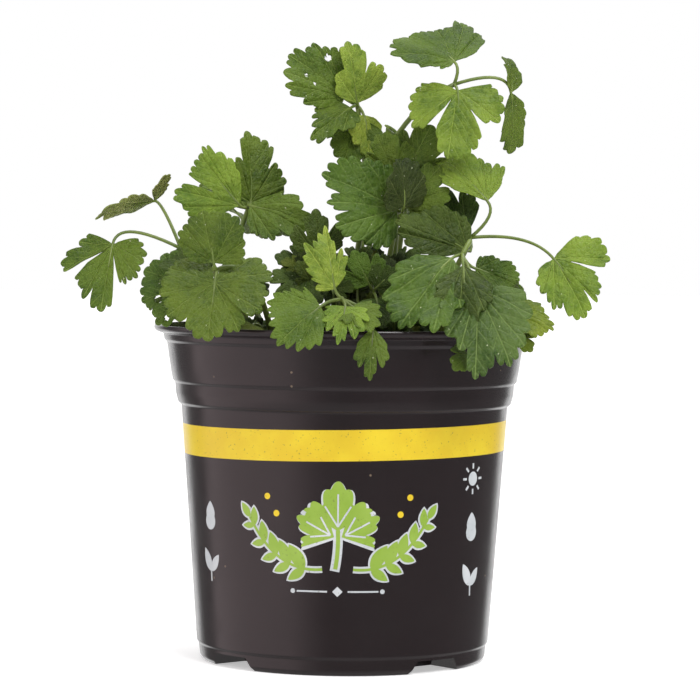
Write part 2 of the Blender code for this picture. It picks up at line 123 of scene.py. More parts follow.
# How far each ink's layer stands off the wall, in mm, as all that follows here.
PALE_LIFT = 0.03
DOT_LIFT = 0.05
GREEN_LIFT = 0.08
VEIN_LIFT = 0.13
EMBLEM_MIDDLE = -1.5  # arc from the front's middle
RULE_HEIGHT = 25
SPRIG_FAN = 64  # degrees of a printed sprig's sheet to each side, before it is spread
# Where the signs stand on the wall, as (arc from the front's middle, height).
SUN_SIGN = (44.0, 57.0)
DROP_SIGNS = ((44.0, 41.0), (-46.5, 43.5))
LEAF_SIGNS = ((44.0, 25.0), (-46.5, 28.5))
# The sprig's three parts: arc from the emblem's middle, height, angle, size and half its fan.
SPRIG = ((0.0, 42.8, 0, 14.5, 60), (-1.1, 41.0, -62, 12.5, 46), (1.1, 41.0, 62, 12.5, 46))

# ---------------------------------------------------------------- the plant
ROOT_DEPTH = 6.0 * MM
# Small shoots crowding the mix, in mm: how many, round which place, how far in x and y, heights.
SHOOTS = [
    (32, (2, -22), (18, 13), (8, 31)),
    (12, (-22, -18), (13, 16), (3, 10)),
    (12, (24, -16), (14, 16), (3, 12)),
    (16, (0, 14), (30, 20), (3, 12)),
]
STALK_STEPS = 26
STALK_SIDES = 12
STALK_REACH = 1.01  # a stalk's tip runs a little past its fork
STALK_FOOT_RADIUS = 0.95 * MM
STALK_FORK_RADIUS = 0.7 * MM
STEM_SIDES = 10
STEM_STEP = 1.5 * MM
STEM_RADIUS = 0.55 * MM
STEM_BASE_RADIUS = 0.42 * MM
MIDRIB_RADIUS = 0.2 * MM
MIDRIB_SHARES = (0.0, 0.1, 0.2, 0.32, 0.45)  # how far into a blade the raised midrib's points lie
BLADE_THICKNESS = 0.35 * MM
WIDE_CUT = 6.0  # how fast a deep cut between lobes widens, in degrees for each length of depth
NOTCH = 0.062  # depth of the notch between two teeth, in leaflet lengths
POINTED_NOTCH = 0.10
BROAD_LOBE = 56  # degrees over which a lobe is at its most cupped
# How finely a blade is made, as (rings from base to edge, columns for each tooth).
FINE_BLADE = (22, 9)
SMALL_BLADE = (14, 9)
LOW_BLADE = (10, 7)
SHOOT_BLADE = (6, 4)

# A blade's relief, in leaflet lengths: lobes cupped, broad and fine wrinkles, and a frilled edge.
CUP = 0.085
WRINKLE = 0.05
FINE_WRINKLE = 0.012
FRILL = 0.012
EDGE_GLOW = 0.10  # how much lighter a leaflet's own green is at the edge

# Veins of a lobe, in shares of the leaflet's length: side veins leave the midrib every
# VEIN_PITCH, and run VEIN_SLANT forward for each step outward.
VEIN_PITCH = 0.15
VEIN_SLANT = 1.45
VEIN_LEAN = VEIN_PITCH / math.sqrt(1 + VEIN_SLANT**2)

# A leaflet's edge is a fan of lobes round its base. Angles are degrees from its midrib, reaches
# are hundredths of its length. The first lobe begins at the angle start; cut is how far out the
# edge stands there. A lobe ends at the angle end, carries one rounded tooth for each of its
# crests, and is followed by a cut of its own.
Lobe = namedtuple("Lobe", "end crests cut")
Outline = namedtuple("Outline", "start cut lobes pointed", defaults=(False,))
OUTLINES = {
    "fan": Outline(-80, 14, [
        Lobe(-30, (60, 78, 82), 62), Lobe(28, (88, 100, 101, 90), 64), Lobe(80, (82, 76, 58), 14)]),
    "shoot": Outline(-80, 12, [
        Lobe(-30, (62, 74), 50), Lobe(30, (88, 100, 86), 50), Lobe(80, (72, 58), 12)]),
    "small": Outline(-84, 14, [
        Lobe(-28, (56, 76, 84), 58), Lobe(28, (86, 100, 88), 58), Lobe(84, (84, 76, 56), 14)]),
    "far_high": Outline(-52, 24, [
        Lobe(-18, (50, 70, 86), 78), Lobe(14, (97, 104, 92), 64), Lobe(52, (70, 56, 40), 16)]),
    "far_low": Outline(-118, 8, [
        Lobe(-74, (37, 46), 40), Lobe(-43, (64, 77, 78), 14), Lobe(-12, (72, 76, 90), 72),
        Lobe(15, (96, 101, 92), 13), Lobe(30, (60, 64), 54), Lobe(56, (62, 64, 58), 50),
        Lobe(88, (52, 50), 39), Lobe(120, (43, 36), 8)]),
    "upper_light": Outline(-46, 12, [
        Lobe(-17, (48, 70, 84), 82), Lobe(-7, (98, 104), 90), Lobe(21, (96, 94, 90, 88), 52),
        Lobe(46, (91, 100, 97), 86), Lobe(72, (84, 76, 56), 15)]),
    "upper_tall": Outline(-98, 15, [
        Lobe(-61, (46, 50, 54), 54), Lobe(-26, (62, 64, 67), 46), Lobe(14, (80, 87, 90, 98, 86), 56),
        Lobe(50, (62, 58, 54), 40), Lobe(85, (40,), 15)]),
    "upper_right": Outline(-68, 10, [
        Lobe(-45, (38, 54, 60), 57), Lobe(-21, (70, 76, 76), 66), Lobe(-2, (87, 95, 98), 92),
        Lobe(12, (101, 97), 80), Lobe(34, (83, 74), 50), Lobe(60, (50, 28), 10)]),
    "round_big": Outline(-168, 35, [
        Lobe(-132, (60, 74, 78), 64), Lobe(-98, (76, 80, 78), 66), Lobe(-66, (80, 84), 70),
        Lobe(-29, (86, 90, 88), 76), Lobe(13, (92, 100, 102, 97), 77), Lobe(38, (90, 92, 86), 70),
        Lobe(92, (86, 90, 86, 84, 76), 62), Lobe(132, (86, 88, 86, 84), 72),
        Lobe(168, (80, 74, 60), 35)]),
    "left_back": Outline(-100, 20, [
        Lobe(-50, (50, 56, 64), 68), Lobe(-12, (78, 88, 88), 84), Lobe(30, (86, 88, 86), 76),
        Lobe(50, (80, 78), 70), Lobe(85, (70, 54, 42), 15)]),
    "left_low": Outline(-105, 25, [
        Lobe(-55, (60, 75, 80), 72), Lobe(-12, (86, 92, 88), 80), Lobe(20, (88, 92, 86), 72),
        Lobe(60, (84, 92, 86), 68), Lobe(105, (66, 50), 20)]),
    "young_tall": Outline(-50, 10, [
        Lobe(-14, (30, 52, 62), 42), Lobe(16, (72, 98, 90, 78), 64), Lobe(62, (82, 66, 52, 38), 20),
        Lobe(95, (28,), 10)], True),
    "young_left": Outline(-112, 20, [
        Lobe(-92, (48, 40), 34), Lobe(-72, (60, 66), 54), Lobe(-30, (80, 86, 84, 86), 74),
        Lobe(10, (90, 97, 100, 96), 78), Lobe(45, (92, 88, 80), 45), Lobe(62, (40,), 15)], True),
    "young_middle": Outline(-90, 20, [
        Lobe(-45, (38, 52), 40), Lobe(-16, (66, 76), 58), Lobe(8, (84, 99, 90), 60),
        Lobe(40, (84, 78), 50), Lobe(90, (60, 44), 20)], True),
    "young_right": Outline(-100, 20, [
        Lobe(-35, (60, 76, 74), 58), Lobe(20, (84, 98, 92), 60), Lobe(90, (76, 66, 50), 20)], True),
    "hanging": Outline(-42, 12, [
        Lobe(-9, (44, 68, 76), 60), Lobe(10, (90, 97, 84), 56), Lobe(46, (76, 66, 42), 12)]),
    "tall_wide": Outline(-92, 20, [
        Lobe(-58, (55, 74), 66), Lobe(-40, (74, 80), 76), Lobe(-23, (90, 92), 84),
        Lobe(-2, (101, 104, 101), 90), Lobe(12, (101,), 84), Lobe(28, (96, 88), 66),
        Lobe(50, (68, 50), 30), Lobe(85, (36,), 15)]),
    "tall_right": Outline(-78, 15, [
        Lobe(-27, (55, 76, 84, 82), 62), Lobe(8, (98, 112, 120, 108), 70), Lobe(60, (70, 50), 15)]),
    "tall_low": Outline(-100, 20, [
        Lobe(-52, (40, 50), 44), Lobe(-27, (58, 66), 56), Lobe(-13, (78,), 74),
        Lobe(12, (97, 95, 80), 60), Lobe(60, (60, 50, 40), 20)]),
    "oval_low": Outline(-100, 25, [
        Lobe(-35, (50, 62, 70), 70), Lobe(15, (84, 96, 99, 97), 92), Lobe(80, (86, 75, 60), 20)]),
    "folded": Outline(-75, 25, [
        Lobe(-18, (45, 60, 75), 68), Lobe(14, (88, 100, 90), 72), Lobe(70, (60, 45), 20)]),
    "top_left": Outline(-95, 15, [
        Lobe(-70, (60, 100, 118), 103), Lobe(-50, (124, 132, 125), 90), Lobe(-5, (86, 86, 82, 80), 76),
        Lobe(45, (84, 92, 100, 104), 92), Lobe(70, (104, 90), 74), Lobe(88, (66, 48), 32),
        Lobe(108, (38, 22), 10)]),
    "top_middle": Outline(-128, 10, [
        Lobe(-91, (38, 50, 57), 52), Lobe(-37, (66, 72, 76, 84, 80), 27),
        Lobe(20, (78, 98, 104, 103, 101, 92, 80), 42), Lobe(100, (67, 76, 72, 64, 54, 46), 8)]),
    "right_high": Outline(-80, 12, [
        Lobe(-51, (45, 78, 76), 63), Lobe(-33, (78, 86), 78), Lobe(-12, (92, 95), 84),
        Lobe(10, (98, 104, 104), 86), Lobe(42, (92, 78, 56), 15)]),
    "right_end": Outline(-85, 12, [
        Lobe(-46, (30, 46, 56), 52), Lobe(-25, (66, 73, 72), 64), Lobe(6, (84, 91, 90, 86), 60),
        Lobe(40, (81, 76, 72, 63, 57), 28), Lobe(108, (68, 76, 72, 68, 58, 45), 8)]),
    "right_inner": Outline(-75, 20, [
        Lobe(-38, (38, 50, 60), 60), Lobe(-8, (72, 80, 88), 82), Lobe(12, (98, 112, 112), 102),
        Lobe(45, (104, 94, 80, 56), 20)]),
    "low_left": Outline(-52, 12, [
        Lobe(-19, (36, 56, 70), 70), Lobe(-10, (85,), 82), Lobe(13, (90, 96, 97, 95), 82),
        Lobe(34, (90, 94, 88), 70), Lobe(60, (62, 44), 15)]),
    "low_dark": Outline(-60, 20, [
        Lobe(-20, (45, 60, 74), 71), Lobe(10, (88, 97, 98, 92), 70), Lobe(50, (66, 60, 48), 20)]),
    "low_middle": Outline(-80, 20, [
        Lobe(-32, (45, 60, 66), 64), Lobe(-21, (74,), 70), Lobe(-1, (94, 101, 99, 90), 78),
        Lobe(17, (91, 93, 88), 78), Lobe(40, (80, 72), 60), Lobe(85, (62, 50), 20)]),
    "low_right": Outline(-80, 20, [
        Lobe(-30, (50, 64, 74), 72), Lobe(2, (82, 88, 90), 84), Lobe(36, (95, 93, 86, 77), 50),
        Lobe(60, (54, 46), 42), Lobe(98, (36, 30), 10)]),
    "low_end": Outline(-70, 25, [
        Lobe(-22, (60, 62, 64), 60), Lobe(8, (74, 88, 93, 94), 88), Lobe(21, (100, 98), 78),
        Lobe(45, (88, 78, 72), 62), Lobe(62, (62, 54), 45), Lobe(100, (45, 40), 15)]),
    "centre_wide": Outline(-92, 20, [
        Lobe(-38, (40, 50, 58, 66), 64), Lobe(-2, (78, 88, 96, 97, 90), 72), Lobe(16, (84, 87, 82), 66),
        Lobe(45, (84, 88, 84, 76), 70), Lobe(92, (64, 60, 50, 34), 15)]),
    "oval_dark": Outline(-100, 25, [
        Lobe(-25, (50, 64, 78), 84), Lobe(22, (95, 102, 103, 97), 90), Lobe(100, (82, 66, 50), 20)]),
    "centre_back": Outline(-110, 20, [
        Lobe(-62, (55, 62, 58), 48), Lobe(-20, (70, 84, 90), 72), Lobe(20, (96, 100, 94), 72),
        Lobe(60, (86, 76), 50), Lobe(100, (60, 40), 20)]),
}

# The leaflets' greens. They are partly each leaflet's own tone and partly painted light and shade: the
# paler greens go to leaflets that catch the light, dark and black to leaflets and shoots deep in the
# plant's shade.
TINTS = {
    "fresh": (0.172, 0.252, 0.028),
    "light": (0.116, 0.196, 0.020),
    "lime": (0.118, 0.176, 0.015),
    "mid": (0.064, 0.112, 0.010),
    "green": (0.053, 0.102, 0.010),
    "blue": (0.048, 0.092, 0.017),
    # painted shade in part: the two darkest greens, for leaflets in the plant's shade
    "dark": (0.036, 0.066, 0.008),
    "black": (0.024, 0.041, 0.007),
    "olive": (0.070, 0.100, 0.010),
    "grey": (0.150, 0.185, 0.050),
}

# A leaflet runs from base to tip, its upper side turned to face. spread widens its fan, bow is
# how far the blade bends down over its length (degrees), holes are the worn places (angle, reach,
# size in mm). swing is how far its stem bends into the blade's line, as a share of the stem's
# length, and is None for a lobe that shares another's stem.
Leaflet = namedtuple(
    "Leaflet", "base tip face outline tint spread bow holes swing",
    defaults=(1.0, 28, (), 0.45),
)
# A leaf's looks, in this order: its blades' upper sides, their undersides, and its stalk.
UPPER, UNDER, STALK = range(3)
# A leaf stands at foot (x, y) in the mix; its stalk bends by way of via and ends at fork, where
# the leaflets' stems begin.
Leaf = namedtuple("Leaf", "foot via fork leaflets")

LEAVES = {
    "leaf_far_left": Leaf(
        (-30, -12), (-36, -18, 122), (-49, -21, 124),
        [
            Leaflet(
                (-57, -19, 138), (-73, -27, 133), (-0.25, 0.38, 0.88), "far_high", "grey", 1.0, 12,
                swing=0.14,
            ),
            Leaflet((-69, -24, 125), (-72, -31, 105), (-0.05, -0.95, 0.3), "far_low", "mid", 1.0, 20),
            Leaflet(
                (-57, -19, 138), (-52.3, -22, 145.8), (-0.75, 0.5, 0.45), "far_high", "grey", 0.9,
                swing=None,
            ),
        ],
    ),
    "leaf_upper_left": Leaf(
        (-24, -2), (-39, -8, 116), (-29, -5, 137),
        [
            Leaflet((-32, -8, 137), (-46, -6, 152), (-0.3, -0.85, 0.4), "upper_light", "light"),
            Leaflet((-29, -3, 138), (-30, 2, 160), (0.55, -0.85, 0.2), "upper_tall", "mid"),
            Leaflet((-29, -8, 137), (-11, -16, 131), (0.15, -0.9, 0.4), "upper_right", "mid"),
        ],
    ),
    "leaf_big_left": Leaf(
        (-20, -24), (-25, -42, 124), (-37, -46, 118),
        [
            Leaflet((-37.6, -50, 114.2), (-38, -60, 98), (0.0, -0.85, 0.5), "round_big", "mid", 1.0, 25),
            Leaflet((-38, -48, 120), (-39, -47, 137), (-0.1, -0.95, 0.2), "left_back", "mid", 1.0, 30),
            Leaflet((-40, -42, 117), (-53, -32, 121), (-0.2, -0.7, 0.6), "small", "dark"),
            Leaflet(
                (-46, -37, 113), (-61, -34, 109), (-0.2, -0.9, 0.3), "left_low", "green",
                holes=((12, 58, 1.3), (48, 70, 1.0)),
            ),
        ],
    ),
    "leaf_young": Leaf(
        (-2, -30), (-1, -44, 112), (-1, -54, 110),
        [
            Leaflet((-3, -54, 113), (-7, -48, 131), (0.0, -0.95, 0.3), "young_tall", "fresh"),
            Leaflet((-7, -60, 108), (-18, -67, 96), (-0.1, -0.85, 0.5), "young_left", "mid"),
            Leaflet((0, -58, 108), (-1, -68, 97), (0.0, -0.85, 0.5), "young_middle", "light"),
            Leaflet((2, -57, 108), (9, -64, 101), (0.3, -0.8, 0.5), "young_right", "mid"),
            Leaflet((8, -61, 102), (7, -67, 87), (0.0, -0.95, 0.3), "hanging", "mid"),
        ],
    ),
    "leaf_tall_left": Leaf(
        (8, 9), (8, 8, 140), (3, 6, 168),
        [
            Leaflet(
                (-1, 5, 170), (-19, -2, 179), (-0.1, -0.9, 0.4), "tall_wide", "mid",
                holes=((-42, 62, 1.1), (-2, 68, 0.7), (6, 52, 0.6)),
            ),
            Leaflet((3, 4, 168.5), (-1, 1, 184), (0.1, -0.95, 0.2), "tall_right", "fresh"),
            Leaflet((1, 2, 167), (-9, -9, 155), (-0.1, -0.85, 0.5), "tall_low", "mid"),
            Leaflet((3, 5, 164), (0, 0, 150), (0.1, -0.95, 0.2), "oval_low", "mid"),
            Leaflet((5, 5, 165), (7, 1, 151), (0.5, -0.85, 0.1), "folded", "fresh"),
        ],
    ),
    "leaf_top_right": Leaf(
        (2, -4), (0, -4, 158), (32, -6, 174),
        [
            Leaflet((32, -5, 181), (17, 4, 189), (0.1, -0.45, 0.9), "top_left", "green"),
            Leaflet((33, -9, 172), (36, -17, 152), (0.0, -0.9, 0.4), "top_middle", "light"),
            Leaflet((49.3, -4, 171.8), (50, 0, 154.3), (0.8, -0.58, 0.1), "far_high", "mid", 1.15, 20),
            Leaflet(
                (49.3, -4, 171.8), (46.8, 1, 182.5), (0.8, -0.6, 0.1), "far_high", "mid", 0.95, 70,
                swing=None,
            ),
        ],
    ),
    "leaf_right": Leaf(
        (18, -6), (16, -13, 124), (37, -17, 128),
        [
            Leaflet((42, -16, 139), (29, -9, 151), (0.1, -0.7, 0.7), "right_high", "light"),
            Leaflet((61.6, -22, 122), (74, -27, 104), (0.1, -0.9, 0.4), "right_end", "light"),
            Leaflet((36, -20, 124), (18, -22, 134), (-0.1, -0.9, 0.4), "right_inner", "dark"),
            Leaflet((36, -13, 129), (26, -6, 140), (-0.1, -0.9, 0.4), "fan", "dark", 0.85),
        ],
    ),
    "leaf_big_right": Leaf(
        (18, -22), (43, -25, 139), (34, -36, 123),
        [
            Leaflet((31, -39, 122), (13, -55, 102), (-0.1, -0.9, 0.4), "low_left", "green"),
            Leaflet((34, -45, 120), (36, -53, 98), (0.0, -0.95, 0.3), "low_dark", "dark"),
            Leaflet((38, -47, 113), (44, -61, 89), (0.1, -0.9, 0.4), "low_middle", "blue"),
            Leaflet((38, -35, 119), (51, -35, 114), (0.2, -0.9, 0.4), "low_right", "green"),
            Leaflet((44, -33, 109), (59, -38, 99), (0.2, -0.65, 0.75), "low_end", "lime"),
        ],
    ),
    "leaf_centre": Leaf(
        (9, -10), (12, -11, 122), (16, -14, 135),
        [
            Leaflet((15, -17, 136), (-9, -28, 141), (-0.1, -0.9, 0.35), "centre_wide", "green"),
            # painted shade in part: this leaflet, deep in the plant's middle, takes the black green
            Leaflet((17, -20, 137), (16, -22, 151), (0.6, -0.75, 0.1), "oval_dark", "black"),
            Leaflet((18, -14, 137), (28, -12, 149), (0.1, -0.85, 0.5), "centre_back", "mid"),
        ],
    ),
    "leaf_behind_centre": Leaf(
        (13, 0), (15, -3, 130), (16, -7, 145),
        [
            Leaflet((14, -9, 147), (10, -9, 159), (0.0, -0.9, 0.4), "fan", "mid"),
            Leaflet((18, -8, 147), (27, -7, 161), (0.1, -0.9, 0.4), "fan", "mid"),
        ],
    ),
}

# Small leaflets low at the rim, two on the right and one on the left.
LOW_LEAFLETS = (
    Leaflet((36, -50, 94), (31, -55, 90), (0.1, -0.9, 0.4), "shoot", "green", 1.1, 60),
    Leaflet((50, -36, 99), (54.5, -40, 95), (0.2, -0.9, 0.4), "shoot", "lime", 1.0, 40),
    Leaflet((-27, -40, 102), (-30, -45, 97), (0.0, -0.9, 0.4), "shoot", "olive", 1.2, 40),
)

# Small leaves inside the plant and behind it: foot, via and fork, then each leaflet's base, tip,
# face and tint, and for one its spread.
SMALL_LEAVES = {
    # painted shade in part: the inner leaves take the darker greens of the plant's shaded middle
    "leaf_inner_left": (
        (-10, -16), (-9, -18, 108), (-10, -22, 116),
        ((-12, -24, 119), (-21, -24, 122), (-0.1, -0.8, 0.6), "dark"),
        ((-11, -27, 116), (-19, -34, 107), (-0.1, -0.9, 0.4), "dark"),
        ((-8, -24, 121), (-9, -26, 136), (0.0, -0.9, 0.4), "dark", 0.8),
    ),
    "leaf_inner_right": (
        (7, -24), (8, -28, 108), (8, -32, 112),
        ((7, -34, 114), (2, -36, 124), (-0.1, -0.95, 0.3), "green"),
        ((9, -35, 113), (15, -38, 119), (0.2, -0.9, 0.4), "dark"),
        ((9, -36, 110), (11, -42, 101), (0.1, -0.9, 0.4), "dark"),
    ),
    "leaf_back_left_high": (
        (-17, 10), (-36, 16, 110), (-32, 20, 133),
        ((-34, 22, 135), (-46, 30, 143), (-0.4, 0.5, 0.8), "mid"),
        ((-31, 22, 136), (-28, 26, 152), (0.2, 0.8, 0.5), "mid"),
        ((-30, 24, 132), (-17, 33, 128), (0.2, 0.5, 0.8), "light"),
    ),
    "leaf_back_left_low": (
        (-22, 17), (-30, 30, 114), (-38, 36, 112),
        ((-40, 37, 112), (-53, 40, 107), (-0.4, 0.3, 0.9), "mid"),
        ((-39, 40, 111), (-43, 55, 99), (-0.3, 0.7, 0.6), "green"),
        ((-36, 39, 112), (-25, 49, 109), (0.2, 0.5, 0.9), "mid"),
    ),
    "leaf_side_left": (
        (-32, 3), (-43, 5, 114), (-45, 6, 111),
        ((-47, 5, 111), (-60, 3, 105), (-0.5, 0.0, 0.9), "mid"),
        ((-46, 9, 110), (-51, 22, 106), (-0.3, 0.5, 0.8), "green"),
        ((-44, 3, 112), (-38, -9, 114), (0.0, -0.4, 0.9), "dark"),
    ),
    "leaf_back_centre": (
        (1, 14), (3, 24, 126), (8, 28, 134),
        ((6, 30, 135), (-5, 37, 139), (-0.2, 0.5, 0.9), "mid"),
        ((10, 31, 134), (22, 40, 134), (0.2, 0.5, 0.9), "light"),
        ((8, 31, 136), (10, 38, 148), (0.0, 0.9, 0.5), "mid"),
    ),
    "leaf_back_right": (
        (23, 10), (32, 22, 118), (40, 28, 117),
        ((42, 28, 117), (55, 32, 112), (0.4, 0.3, 0.9), "mid"),
        ((41, 31, 116), (46, 47, 104), (0.3, 0.7, 0.7), "mid"),
        ((38, 31, 117), (28, 42, 117), (-0.1, 0.5, 0.9), "green"),
    ),
    "leaf_back_low": (
        (3, 24), (4, 40, 116), (6, 46, 112),
        ((4, 48, 112), (-9, 53, 108), (-0.3, 0.4, 0.9), "light"),
        ((6, 50, 111), (6, 65, 99), (0.0, 0.7, 0.7), "mid"),
        ((8, 48, 112), (20, 54, 108), (0.3, 0.4, 0.9), "mid"),
    ),
    "leaf_back_high": (
        (13, 14), (17, 14, 140), (22, 16, 153),
        ((24, 17, 155), (35, 24, 160), (0.3, 0.5, 0.8), "mid"),
        ((20, 18, 155), (12, 27, 160), (-0.2, 0.6, 0.8), "light"),
    ),
}


# ---------------------------------------------------------------- helpers: objects and meshes
def mm(*values):
    """A vector in metres from values in millimetres."""
    return Vector(values) * MM


def mesh_of(bm, name):
    mesh = bpy.data.meshes.new(name)
    bm.to_mesh(mesh)
    bm.free()
    return mesh


def add_object(name, mesh, looks=()):
    obj = bpy.data.objects.new(name, mesh)
    bpy.context.scene.collection.objects.link(obj)
    for look in looks:
        obj.data.materials.append(look)
    return obj


def evaluated_mesh(obj):
    graph = bpy.context.evaluated_depsgraph_get()
    return bpy.data.meshes.new_from_object(obj.evaluated_get(graph))


def finished(obj, node=None):
    """The object rides on the part's one body and hides the node it stands for."""
    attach(obj, "root")
    if node:
        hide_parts(node)
    return obj


# ---------------------------------------------------------------- helpers: curves
def smooth_step(value, low, high):
    share = min(max((value - low) / (high - low), 0.0), 1.0)
    return share * share * (3 - 2 * share)


def quadratic(start, control, end, share):
    """A point of the curve from start to end that is drawn towards control."""
    return start * (1 - share) ** 2 + control * 2 * share * (1 - share) + end * share**2


def curve_points(start, control, end, steps):
    return [quadratic(start, control, end, i / steps) for i in range(steps + 1)]


# ---------------------------------------------------------------- helpers: shader nodes
def new_material(name, roughness, specular=0.5):
    made = bpy.data.materials.new(name)
    made.use_nodes = True
    shader = made.node_tree.nodes["Principled BSDF"]
    shader.inputs["Roughness"].default_value = roughness
    shader.inputs["Specular IOR Level"].default_value = specular
    return made, made.node_tree, shader


def feed(tree, socket, value):
    """The socket takes a node's first output, another socket or a plain value."""
    if isinstance(value, bpy.types.Node):
        value = value.outputs[0]
    if isinstance(value, bpy.types.NodeSocket):
        tree.links.new(value, socket)
    else:
        socket.default_value = value


def add_node(tree, kind, inputs=None, **settings):
    """A shader node with its settings, and what each of its inputs takes."""
    made = tree.nodes.new("ShaderNode" + kind)
    for key, value in settings.items():
        setattr(made, key, value)
    for key, value in (inputs or {}).items():
        feed(tree, made.inputs[key], value)
    return made


def maths(tree, operation, first, second=0.0, third=0.0):
    return add_node(tree, "Math", {0: first, 1: second, 2: third}, operation=operation)


def ranged(tree, value, low, high, to_low=0.0, to_high=1.0):
    """The value's place between low and high, eased, as a number from to_low to to_high."""
    return add_node(
        tree, "MapRange", {0: value, 1: low, 2: high, 3: to_low, 4: to_high},
        interpolation_type="SMOOTHSTEP",
    )


def speckle(tree, where, scale, detail=3.0, roughness=0.55):
    """A soft random pattern, scale being how many patches there are to a metre."""
    return add_node(
        tree, "TexNoise", {"Vector": where, "Scale": scale, "Detail": detail, "Roughness": roughness}
    )


def mixed(tree, share, first, second, blend="MIX"):
    """Colour first with share of second laid over it."""
    colors = [(*value, 1.0) if isinstance(value, tuple) else value for value in (first, second)]
    inputs = {0: share, 6: colors[0], 7: colors[1]}
    return add_node(tree, "Mix", inputs, data_type="RGBA", blend_type=blend).outputs[2]


def add_bump(tree, shader, height, distance, strength):
    made = add_node(tree, "Bump", {"Height": height, "Distance": distance, "Strength": strength})
    tree.links.new(made.outputs["Normal"], shader.inputs["Normal"])


def let_light_in(shader, weight, radius):
    """Light sinks a little way into a living surface."""
    shader.inputs["Subsurface Weight"].default_value = weight
    shader.inputs["Subsurface Radius"].default_value = radius
    shader.inputs["Subsurface Scale"].default_value = 0.0008


# ---------------------------------------------------------------- finishes
def plastic_finish():
    """Near-black moulded polypropylene, slightly wavy, with a little dust on it."""
    made, tree, shader = new_material("black_plastic", 0.22)
    place = add_node(tree, "TexCoord").outputs["Object"]
    cloud = speckle(tree, place, 35.0)
    base = mixed(tree, cloud, (0.0125, 0.0078, 0.0088), (0.0180, 0.0120, 0.0130))
    dust_cells = add_node(tree, "TexVoronoi", {"Vector": place, "Scale": 260.0})
    dust_pick = maths(tree, "LESS_THAN", dust_cells.outputs["Distance"], 0.09)
    chosen = add_node(tree, "SeparateColor", {0: dust_cells.outputs["Color"]})
    dust = maths(tree, "MULTIPLY", dust_pick, maths(tree, "LESS_THAN", chosen, 0.06))
    tree.links.new(mixed(tree, dust, base, (0.15, 0.11, 0.075)), shader.inputs["Base Color"])
    smear = speckle(tree, place, 120.0, 4.0)
    tree.links.new(ranged(tree, smear, 0.3, 0.75, 0.17, 0.27).outputs[0], shader.inputs["Roughness"])
    grain = speckle(tree, place, 900.0, 2.0)
    wave = speckle(tree, place, 55.0, 1.0)
    height = maths(tree, "ADD", maths(tree, "MULTIPLY", grain, 0.02), wave)
    add_bump(tree, shader, height, 0.0001, 0.5)
    return made


def print_finish(name, color, worn):
    """Ink printed on the plastic, even but for tiny pinholes and faint clouds."""
    made, tree, shader = new_material(name, 0.32)
    place = add_node(tree, "TexCoord").outputs["Object"]
    cloud = speckle(tree, place, 90.0, 4.0)
    ink = mixed(tree, ranged(tree, cloud, 0.35, 0.7), color, worn)
    pits = speckle(tree, place, 1500.0, 1.0)
    dots = ranged(tree, pits, 0.68, 0.74, 0.0, 0.55)
    tree.links.new(mixed(tree, dots, ink, (0.10, 0.09, 0.03)), shader.inputs["Base Color"])
    add_bump(tree, shader, pits, 0.00003, 0.4)
    return made


def vein_distances(tree, chart):
    """Distances to the lobe's midrib and to its nearest side vein, in leaflet lengths."""
    parts = add_node(tree, "SeparateXYZ", {0: chart})
    across = parts.outputs[0]
    off_midrib = maths(tree, "ABSOLUTE", across)
    stagger = maths(tree, "MULTIPLY", maths(tree, "SIGN", across), VEIN_PITCH / 4)
    start = maths(tree, "MULTIPLY_ADD", off_midrib, -VEIN_SLANT, parts.outputs[1])
    start = maths(tree, "ADD", start, stagger)
    cycle = maths(tree, "FRACT", maths(tree, "DIVIDE", start, VEIN_PITCH))
    off_vein = maths(tree, "ABSOLUTE", maths(tree, "SUBTRACT", cycle, 0.5))
    return off_midrib, maths(tree, "MULTIPLY", off_vein, VEIN_LEAN)


def leaf_green(tree, tint, place):
    """The leaflet's green in lighter and darker patches and fine flecks: partly its own mottled tone,
    partly painted light and shade of its crinkled surface.
    """
    patches = ranged(tree, speckle(tree, place, 85.0), 0.34, 0.68)
    fine = ranged(tree, speckle(tree, place, 480.0, 4.0, 0.65), 0.3, 0.7)
    # painted shade and painted light in part: the darker and lighter greens that the patches and flecks
    # run between
    shade = mixed(tree, 1.0, tint, (0.50, 0.60, 0.48), "MULTIPLY")
    glow = mixed(tree, 1.0, tint, (1.56, 1.38, 1.50), "MULTIPLY")
    color = mixed(tree, patches, shade, glow)
    return mixed(tree, maths(tree, "MULTIPLY", fine, 0.5), color, glow)


def vein_lines(tree, chart, net, place):
    """How far a place is on a vein, from 0 to 1: midrib, side veins and the net between them."""
    off_midrib, off_side = vein_distances(tree, chart)
    net_line = ranged(tree, net, 0.0, 0.14, 1.0, 0.0)
    midrib_line = ranged(tree, off_midrib, 0.003, 0.018, 1.0, 0.0)
    side_line = ranged(tree, off_side, 0.001, 0.012, 0.5, 0.0)
    lines = maths(tree, "MAXIMUM", midrib_line, side_line)
    lines = maths(tree, "MAXIMUM", lines, maths(tree, "MULTIPLY", net_line, 0.2))
    broken = ranged(tree, speckle(tree, place, 260.0, 2.0), 0.34, 0.58, 0.35, 1.0)
    return maths(tree, "MULTIPLY", lines, broken)


